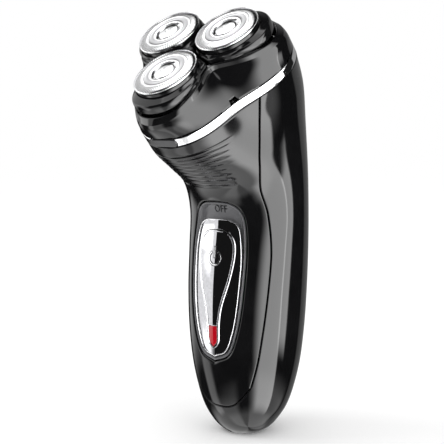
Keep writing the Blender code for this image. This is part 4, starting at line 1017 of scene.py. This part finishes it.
def collar():
    """Collar round the pods, with its floor, the hinge's knuckle and the notches."""
    columns = 540
    strip = [0.0, 0.012, 0.03, 0.06, 0.1, 0.16, 0.3, 0.45, 0.6, 0.75, 0.88, 0.95, 0.985, 1.015, 1.05, 1.12]
    wall = [1.12 + 1.88 * (i + 1) / 40 for i in range(40)]
    outer = [[] for _ in strip + wall]
    inner = [[] for _ in strip + wall]
    step = 0.01
    for c in range(columns):
        theta = 2 * math.pi * c / columns
        if theta > math.pi:
            theta -= 2 * math.pi
        low, high, foot = 1.5, 3.2, collar_foot(theta)
        for _ in range(26):
            middle = 0.5 * (low + high)
            low, high = (middle, high) if collar_point(theta, middle).z > foot else (low, middle)
        top = collar_point(theta, 0.0)
        for i, place in enumerate(strip + wall):
            if place > 1.12:
                place = 1.12 + (low - 1.12) * (place - 1.12) / 1.88
            point = collar_point(theta, place)
            down = collar_point(theta, place + step) - collar_point(theta, max(place - step, 0.0))
            side = collar_point(theta + step, place) - collar_point(theta - step, place)
            normal = down.cross(side).normalized()
            if normal.dot(Vector((math.sin(theta), -math.cos(theta), 0))) < 0:
                normal.negate()
            drop = rolled((point - top).length, 0.4) + rolled((low - place) * 6.0, 0.22)
            flat = Vector((normal.x, normal.y, 0)).normalized() if i == len(strip + wall) - 1 else normal
            outer[i].append(point - normal * drop)
            inner[i].append(point - flat * COLLAR_WALL)
    rows = list(reversed(outer)) + inner
    mesh = tidied(grid("collar", rows, wrap_rows=True, wrap_columns=True), 0.0001)
    level = [collar_point(2 * math.pi * i / 180, 2.0) for i in range(180)]
    edge = [(p.x * FLOOR_SHARE, p.y * FLOOR_SHARE) for p in level]
    holes = [circle(FLOOR_HOLE_RADIUS, 40, lobe_centre(angle)) for _, angle in LOBES]
    floor = plate("floor", [edge] + holes, FLOOR_TOP - FLOOR_THICKNESS, FLOOR_TOP)
    pin_hole = [(HINGE_B + x, HINGE_N + n) for x, n in circle(HINGE_PIN_RADIUS + 0.3, 24)]
    knuckle = softened(plate("knuckle", [knuckle_outline(), pin_hole], -KNUCKLE_HALF, KNUCKLE_HALF), 0.3, 3)
    mesh = joined(mesh, floor, placed(knuckle, SIDEWAYS))
    mesh.transform(HEAD)
    add_piece("collar", mesh, GLOSS_BLACK, "head", ["head_frame"])


def lobe_centre(angle):
    """x and b of a cutter's axis."""
    theta = math.radians(angle)
    return LOBE_RADIUS * math.sin(theta), -LOBE_RADIUS * math.cos(theta)


def knuckle_outline():
    """Side view, in b and n, of the hinge's knuckle."""
    rear = BAND_SHIFT + BACK_REACH
    arc = [(HINGE_B + BARREL_RADIUS * math.cos(a), HINGE_N + BARREL_RADIUS * math.sin(a))
           for a in (math.radians(200 + 10 * i) for i in range(25))]
    return [(rear - 1.0, HINGE_N + 0.3), (rear + 0.3, HINGE_N + 0.3)] + arc + [(rear - 2.0, HINGE_N + 2.4)]


def pod_limit(x, y, inset, side_inset):
    """Below zero inside a pod's outline; x and y are in the frame of its lobe."""
    b = LOBE_RADIUS - y
    radius, theta = math.hypot(x, b), math.atan2(x, b)
    rim_radius = waves(theta, COLLAR_RINGS[0][1])
    slope = (waves(theta + 0.01, COLLAR_RINGS[0][1]) - rim_radius) / (0.01 * rim_radius)
    rim = (radius - rim_radius) / math.hypot(1.0, slope) + inset
    side = POD_SPLIT / 2 + side_inset - radius * math.sin(math.pi / 3 - abs(theta))
    inner = POST_RADIUS + POD_RIM_GAP + side_inset - b
    sharp = 1.6
    return math.log(sum(math.exp(sharp * value) for value in (rim, side, inner))) / sharp


def pod_outline(inset, side_inset, count):
    """Reach of a pod's outline in equally spaced directions from its middle."""
    reaches = []
    for i in range(count):
        angle = 2 * math.pi * i / count
        low, high = 0.0, 24.0
        for _ in range(18):
            reach = 0.5 * (low + high)
            inside = pod_limit(reach * math.cos(angle), reach * math.sin(angle), inset, side_inset) < 0
            low, high = (reach, high) if inside else (low, reach)
        reaches.append(low)
    return reaches


def pod_mesh():
    """A pod in the frame of its lobe: bulging wall, sloping ledge and the guard's round seat.

    A level's row is its inset, its inset at the sides, and its height. Without a height of its own it
    follows the collar's rim, at a distance above it or (distance, share of the way to the shoulder).
    """
    count = 216
    mean, swing = COLLAR_RINGS[0][0]
    levels = [(2.2, 0.5, POD_BOTTOM, None), (2.2, 0.15, None, 0.75), (1.0, 0.12, None, 0.7),
              (0.66, 0.06, None, 0.78), (0.5, 0.0, None, 1.0), (0.47, 0.0, None, 1.6)]
    arcs = [0.5 * math.pi * i / 9 for i in range(10)]
    for a in arcs:
        inwards = 1 - math.cos(a)
        levels.append((0.5 + 0.75 * inwards, 0.5 * inwards, None, (2.1, math.sin(a))))
    shoulder = POD_TOP - POD_SLOPE
    rows = []
    for inset, side_inset, level, above in levels:
        row = []
        for i, reach in enumerate(pod_outline(inset, side_inset, count)):
            angle = 2 * math.pi * i / count
            reach = max(reach, SEAT_RADIUS + 0.45)
            x, y = reach * math.cos(angle), reach * math.sin(angle)
            z = level
            if level is None:
                theta = math.atan2(x, LOBE_RADIUS - y)
                rim = mean + swing * math.cos(3 * theta)
                if isinstance(above, tuple):
                    base = min(rim + above[0], shoulder - 0.9)
                    z = base + (shoulder - base) * above[1]
                else:
                    z = min(rim + above, shoulder - 1.0)
            row.append((x, y, z))
        rows.append(row)
    edge = rows[-1]
    seat = circle(SEAT_RADIUS + 0.12, count)
    for share in (0.04, 0.12, 0.35, 0.65, 0.92, 1.0):
        rise = POD_SLOPE * (share if share < 0.95 else 0.97)
        rows.append([(x + (u - x) * share, y + (v - y) * share, shoulder + rise)
                     for (x, y, _), (u, v) in zip(edge, seat)])
    for radius, z in ((SEAT_RADIUS + 0.03, POD_TOP - 0.1), (SEAT_RADIUS, POD_TOP - 0.25),
                      (SEAT_RADIUS, SEAT_BOTTOM), (9.0, SEAT_BOTTOM), (9.0, POD_BOTTOM)):
        rows.append([(x, y, z) for x, y in circle(radius, count)])
    return tidied(grid("pod", rows, wrap_rows=True, wrap_columns=True), 0.0001)


def radial_bars(count):
    """Geometry nodes that repeat a curved bar round the z axis; lengths in metres."""
    tree = bpy.data.node_groups.new("radial bars", "GeometryNodeTree")
    sizes = {"Inner Radius": 8.95, "Outer Radius": GUARD_RADIUS, "Drop": 0.75, "Width": 0.36,
             "Thickness": 0.5}
    tree.interface.new_socket("Geometry", in_out="OUTPUT", socket_type="NodeSocketGeometry")
    tree.interface.new_socket("Count", in_out="INPUT", socket_type="NodeSocketInt").default_value = count
    for name, size in sizes.items():
        socket = tree.interface.new_socket(name, in_out="INPUT", socket_type="NodeSocketFloat")
        socket.default_value = size * MM
    tree.interface.new_socket("Material", in_out="INPUT", socket_type="NodeSocketMaterial")
    graph = Graph(tree)
    given = graph.add("NodeGroupInput")

    def vector(x, y, z):
        return graph.add("ShaderNodeCombineXYZ", None, x, y, z)

    start = vector(given["Inner Radius"], 0.0, 0.0)
    corner = vector(given["Outer Radius"], 0.0, 0.0)
    foot = vector(given["Outer Radius"], 0.0, given["Drop"] * -1.0)
    path = graph.add("GeometryNodeCurveQuadraticBezier", None, Resolution=9, Start=start, Middle=corner,
                     End=foot)
    section = graph.add("GeometryNodeCurvePrimitiveQuadrilateral", None, Width=given["Width"],
                        Height=given["Thickness"])
    bar = graph.add("GeometryNodeCurveToMesh", None, Curve=path, Profile_Curve=section, Fill_Caps=True)
    points = graph.add("GeometryNodePoints", None, Count=given["Count"])
    turn = graph.add("GeometryNodeInputIndex") * (2 * math.pi / count)
    copies = graph.add("GeometryNodeInstanceOnPoints", None, Points=points, Instance=bar,
                       Rotation=graph.add("FunctionNodeEulerToRotation", None, vector(0.0, 0.0, turn)))
    real = graph.add("GeometryNodeRealizeInstances", None, copies)
    flat = graph.add("GeometryNodeSetShadeSmooth", None, real, Shade_Smooth=False)
    done = graph.add("GeometryNodeSetMaterial", None, flat, Material=given["Material"])
    graph.add("NodeGroupOutput", None, done)
    return tree


def grown(tree, **inputs):
    """The plain mesh that a geometry node tree makes, with inputs set by their names."""
    made = holder(bpy.data.meshes.new(tree.name))
    step = made.modifiers.new("grow", "NODES")
    step.node_group = tree
    for item in tree.interface.items_tree:
        if item.in_out == "INPUT" and item.name in inputs:
            step[item.identifier] = inputs[item.name]
    return frozen(made)


def lobe_map(mesh):
    """A map of a turned piece's flat x and y, in millimetres, for its round brushing."""
    layer = mesh.uv_layers.get("lobe") or mesh.uv_layers.new(name="lobe")
    for loop in mesh.loops:
        point = mesh.vertices[loop.vertex_index].co
        layer.data[loop.index].uv = (point.x / MM, point.y / MM)
    return mesh


def guards():
    """Guards: a slotted chrome ring, a satin track, a bright inner ring, and a holder ring below."""
    tree = radial_bars(SLOTS)
    slotted = grown(tree, Material=GUARD_CHROME)
    slotted.transform(Matrix.Translation((0, 0, -0.25 * MM)))
    outer = [(11.95, -0.6), (12.04, -0.66), (12.07, -0.78), (12.04, -0.94), (11.9, -1.0), (11.3, -1.0),
             (11.3, -0.9), (11.6, -0.65)]
    bright = [(9.1, -0.02), (9.02, 0.06), (8.85, 0.09), (8.2, 0.09), (8.02, 0.05), (7.92, -0.12),
              (7.92, -0.75), (9.1, -0.75)]
    track = [(7.95, -0.12), (7.6, -0.2), (6.9, -0.23), (6.3, -0.2), (6.02, -0.12), (6.02, -0.75),
             (7.95, -0.75)]
    centre = [(6.05, -0.1), (5.98, 0.06), (5.82, 0.1), (5.1, 0.1), (4.92, 0.04), (4.84, -0.12), (4.8, -1.0),
              (4.2, -1.05), (4.2, -1.6), (5.4, -1.6), (5.5, -0.75), (6.05, -0.75)]
    holder_ring = [(11.5, -1.05), (11.6, -1.3), (11.82, -1.4), (11.9, -1.6), (11.9, -4.2), (11.1, -4.2),
                   (11.1, -1.05)]
    disc = [(0, 0.02), (1.5, 0.0), (2.6, -0.05), (3.4, -0.12), (3.9, -0.22), (4.12, -0.36), (4.2, -0.55),
            (4.2, -0.7), (0, -0.7)]
    mark = [(1.25, 0.06), (1.2, 0.1), (1.08, 0.1), (1.03, 0.06), (1.03, -0.3), (1.25, -0.3)]
    chrome = joined(slotted, *(turned_ring("ring", profile) for profile in (outer, bright, centre)))
    satin = turned_ring("track", track)
    black = turned_ring("holder", holder_ring)
    cap = joined(turned("cap", disc), turned_ring("mark", mark, 48))
    for name, angle in LOBES:
        place, body = lobe_matrix(angle), "guard_" + name
        for label, mesh, look, nodes, slot in (
                ("guard_face_", chrome, GUARD_CHROME, ["guard_" + name], "chrome"),
                ("guard_track_", satin, GUARD_SATIN, [], "chrome"),
                ("guard_cap_", cap, GUARD_CHROME, ["guard_disc_" + name], "chrome"),
                ("guard_holder_", black, GLOSS_BLACK, [], "matte_black")):
            add_piece(label + name, placed(lobe_map(mesh), place), look, body, nodes, 40)


def pods():
    """Three pods of one shape."""
    shape = pod_mesh()
    for name, angle in LOBES:
        add_piece("pod_shell_" + name, placed(shape, lobe_matrix(angle)), GLOSS_BLACK, "pod_" + name,
                  ["pod_" + name], 45)


def band():
    """Chrome band: an open strip with rolled edges that ends round the button's recess."""
    profile = [(0.0, BAND_BOTTOM + BAND_EDGE), (0.07, BAND_BOTTOM + 0.07), (BAND_EDGE, BAND_BOTTOM),
               (BAND_WALL, BAND_BOTTOM), (BAND_WALL, BAND_TOP), (BAND_EDGE, BAND_TOP),
               (0.07, BAND_TOP - 0.07), (0.0, BAND_TOP - BAND_EDGE)]
    steps = 6
    profile += [(0.0, BAND_TOP - BAND_EDGE + (BAND_BOTTOM - BAND_TOP + 2 * BAND_EDGE) * i / steps)
                for i in range(1, steps)]
    columns = 540
    rows = []
    for inset, n in profile:
        bulge = math.sqrt(max(0.0, RECESS_HALF * RECESS_HALF - (n - BAND_MIDDLE) ** 2))
        x = (BUTTON_HALF_WIDTH + RECESS_MARGIN[0] - RECESS_HALF) + bulge
        start = math.asin(x / (FRONT_REACH - inset))
        row = []
        for i in range(columns + 1):
            theta = start + (2 * math.pi - 2 * start) * i / columns
            radius = band_radius(theta) - inset
            row.append((radius * math.sin(theta), BAND_SHIFT - radius * math.cos(theta), n))
        rows.append(row)

    def close_ends(shape):
        shape.verts.ensure_lookup_table()
        for column in (0, columns):
            shape.faces.new([shape.verts[row * (columns + 1) + column] for row in range(len(profile))])

    mesh = edited(grid("chrome_strip", rows, wrap_rows=True), close_ends)
    mesh.transform(HEAD)
    add_piece("chrome_strip", mesh, CHROME, "handle", ["chrome_band"], 40)


def release_button():
    """Release button: a rounded bar with its yoke behind."""
    face = BAND_SHIFT - FRONT_REACH + 0.3
    bar = softened(plate("bar", [pill(BUTTON_HALF_WIDTH, BUTTON_HALF_HEIGHT)], -face - 3.0, -face), 0.45, 4)
    arms = [box("arm", (side * 3.0 - (0 if side > 0 else 1.6), -0.65, -YOKE_BACK),
                (side * 3.0 + (1.6 if side > 0 else 0), 0.6, -face - 2.0)) for side in (-1, 1)]
    bridge = box("bridge", (-4.6, -0.65, -YOKE_BACK), (4.6, 0.6, -YOKE_BACK + 0.8))
    add_piece("button_face", placed(joined(bar, *arms, bridge), HEAD @ UPRIGHT), BUTTON_GREY, "release",
              ["release_button"])


def recess_back():
    """Dark wall behind the release button, a ring round it at the back of its recess."""
    face = BAND_SHIFT - FRONT_REACH + BAND_WALL
    ring = [pill(BUTTON_HALF_WIDTH + 1.4, RECESS_HALF + 0.2),
            pill(BUTTON_HALF_WIDTH + 0.3, BUTTON_HALF_HEIGHT + 0.25)]
    wall = plate("button_frame", ring, -face - 1.0, -face)
    add_piece("button_frame", placed(wall, HEAD @ UPRIGHT), SATIN_BLACK, "handle")


# ---------------------------------------------------------------- the shaver

front_shell()
rear_shell()
bezel()
lettering = wrapped_text("recess_lettering", "OFF", size=3.4, middle=87.0, depth=2.65, thickness=0.3)
add_piece("recess_lettering", lettering, LETTER_GREY, "handle")
switch()
collar()
pods()
guards()
band()
release_button()
recess_back()

FINISHES = {
    STEEL: ["motor", "battery_strap_top", "battery_strap_bottom", "slide_switch", "hinge_pin",
            "deck_screw_left", "deck_screw_right", "deck_screw_rear"],
    SHADE_DARKENED_STEEL: ["cutter_front", "cutter_right", "cutter_left"],
    BRASS: ["motor_pinion", "charging_pin_left", "charging_pin_right"],
    NYLON: ["drive_gear_front", "drive_gear_right", "drive_gear_left"],
    MATTE_BLACK: ["deck_plate", "charging_socket", "switch_stem", "centre_post", "head_hook"],
    MATTE_GREY: ["gear_frame", "chassis"],
    SLEEVE_GREEN: ["battery_cell_left", "battery_cell_right"],
    BOARD_GREEN: ["circuit_board"],
    RED_LENS: ["indicator_led"],
}
for look, names in FINISHES.items():
    for name in names:
        for slot in NODES[name].material_slots:
            slot.material = look


# ---------------------------------------------------------------- studio

def softbox(azimuth, elevation, place, size, soft, strength):
    """Light from one side of the room: its middle, half size and soft edges, in degrees."""
    spread = 1.0
    for value, middle, half, (low, high) in zip((azimuth, elevation), place, size, soft):
        away = (value - math.radians(middle)).math("WRAP", math.pi, -math.pi)
        half, low, high = math.radians(half), math.radians(low), math.radians(high)
        spread = spread * away.ramp(-half - low, -half) * away.ramp(half, half + high, 1.0, 0.0)
    return spread * strength


def studio():
    """White room for the eye and for matt surfaces, and a dark one with softboxes for reflections."""
    world = bpy.data.worlds.new("studio")
    bpy.context.scene.world = world
    world.use_nodes = True
    world.cycles.sampling_method = "NONE"
    graph = Graph(world.node_tree)
    direction = graph.add("ShaderNodeTexCoord")["Generated"]
    axes = graph.add("ShaderNodeSeparateXYZ", None, direction)
    azimuth = axes["X"].math("ARCTAN2", axes["Y"] * -1.0)
    elevation = axes["Z"].math("ARCSINE")
    light = Wire(graph, graph.add("ShaderNodeValue").socket)
    light.socket.default_value = 0.012
    for place, size, soft, strength in SOFTBOXES:
        light = light + softbox(azimuth, elevation, place, size, soft, strength)
    shiny = graph.add("ShaderNodeLightPath")["Is Glossy Ray"]
    level = light * shiny + (1.0 - shiny)
    room = graph.add("ShaderNodeBackground", None, Color=(1.0, 1.0, 1.0, 1.0), Strength=level)
    graph.add("ShaderNodeOutputWorld", None, Surface=room)


# Softboxes: middle azimuth and elevation, half sizes, soft edges (low, high) of each, strength
SOFTBOXES = [
    ((86.5, -16.0), (21.5, 29.0), ((26.0, 3.0), (18.0, 45.0)), 5.6),
    ((117.0, -10.0), (8.0, 8.0), ((4.0, 4.0), (6.0, 10.0)), 5.0),
    ((-75.0, -75.0), (62.0, 30.0), ((15.0, 22.0), (5.0, 14.0)), 1.2),
    ((70.0, -85.0), (110.0, 22.0), ((20.0, 20.0), (5.0, 16.0)), 0.9),
    ((96.0, -68.0), (52.0, 30.0), ((15.0, 14.0), (5.0, 12.0)), 1.0),
    ((-72.0, 32.0), (33.0, 42.0), ((12.0, 1.5), (14.0, 20.0)), 1.15),
    ((-40.0, 76.0), (70.0, 25.0), ((12.0, 4.0), (4.0, 10.0)), 1.8),
    ((-62.0, 8.0), (11.0, 5.0), ((5.0, 5.0), (4.0, 8.0)), 2.4),
    ((-60.0, -30.0), (6.0, 12.0), ((7.0, 8.0), (8.0, 8.0)), 1.5),
    ((188.0, -15.0), (22.0, 60.0), ((5.0, 20.0), (20.0, 20.0)), 0.3),
]
studio()

FLOOR_HALF = 2500
corners = [(x * FLOOR_HALF, y * FLOOR_HALF, 0) for x, y in ((-1, -1), (1, -1), (1, 1), (-1, 1))]
floor = add_piece("floor", mesh_from("floor", corners, [(0, 1, 2, 3)]), None)


def paper(graph, place):
    """Pale studio paper, which fades out far from the shaver."""
    fibre = noise(graph, place, 1.2, 3.0)
    away = graph.add("ShaderNodeVectorMath", {"operation": "LENGTH"}, place)["Value"]
    return {"Base_Color": graph.mix(fibre.ramp(0.3, 0.7), (0.985, 0.985, 0.985), (1.0, 1.0, 1.0)),
            "Alpha": away.ramp(0.35, 1.6, 1.0, 0.0)}


floor.data.materials.append(finish("pale paper", paper, Roughness=0.9, Specular_IOR_Level=0.0))
floor.visible_glossy = False


def lamp(name, place, aim, size, power):
    """A soft area light that reflections don't show."""
    light = bpy.data.lights.new(name, "AREA")
    light.shape, light.size, light.energy = "SQUARE", size, power
    made = bpy.data.objects.new(name, light)
    made.location = place
    made.rotation_euler = (Vector(aim) - Vector(place)).to_track_quat("-Z", "Y").to_euler()
    made.visible_glossy = made.visible_camera = False
    bpy.context.scene.collection.objects.link(made)


lamp("key_light", (-0.7, -0.5, 0.9), (0, 0, 0.08), 0.6, 3.0)
lamp("fill_light", (0.8, -0.3, 0.6), (0, 0, 0.08), 0.6, 1.2)

camera = bpy.data.cameras.new("camera")
camera.lens, camera.sensor_width, camera.clip_start = 88.5, 36.0, 0.01
eye = bpy.data.objects.new("camera", camera)
eye.location = (0.25537, -0.32916, 0.12686)
back, up = Vector((0.6232, -0.7741, 0.1079)).normalized(), Vector((-0.0591, 0.0908, 0.994))
right = up.cross(back).normalized()
eye.rotation_euler = Matrix((right, back.cross(right), back)).transposed().to_euler()
bpy.context.scene.collection.objects.link(eye)
bpy.context.scene.camera = eye
bpy.context.scene.view_settings.view_transform = "Standard"
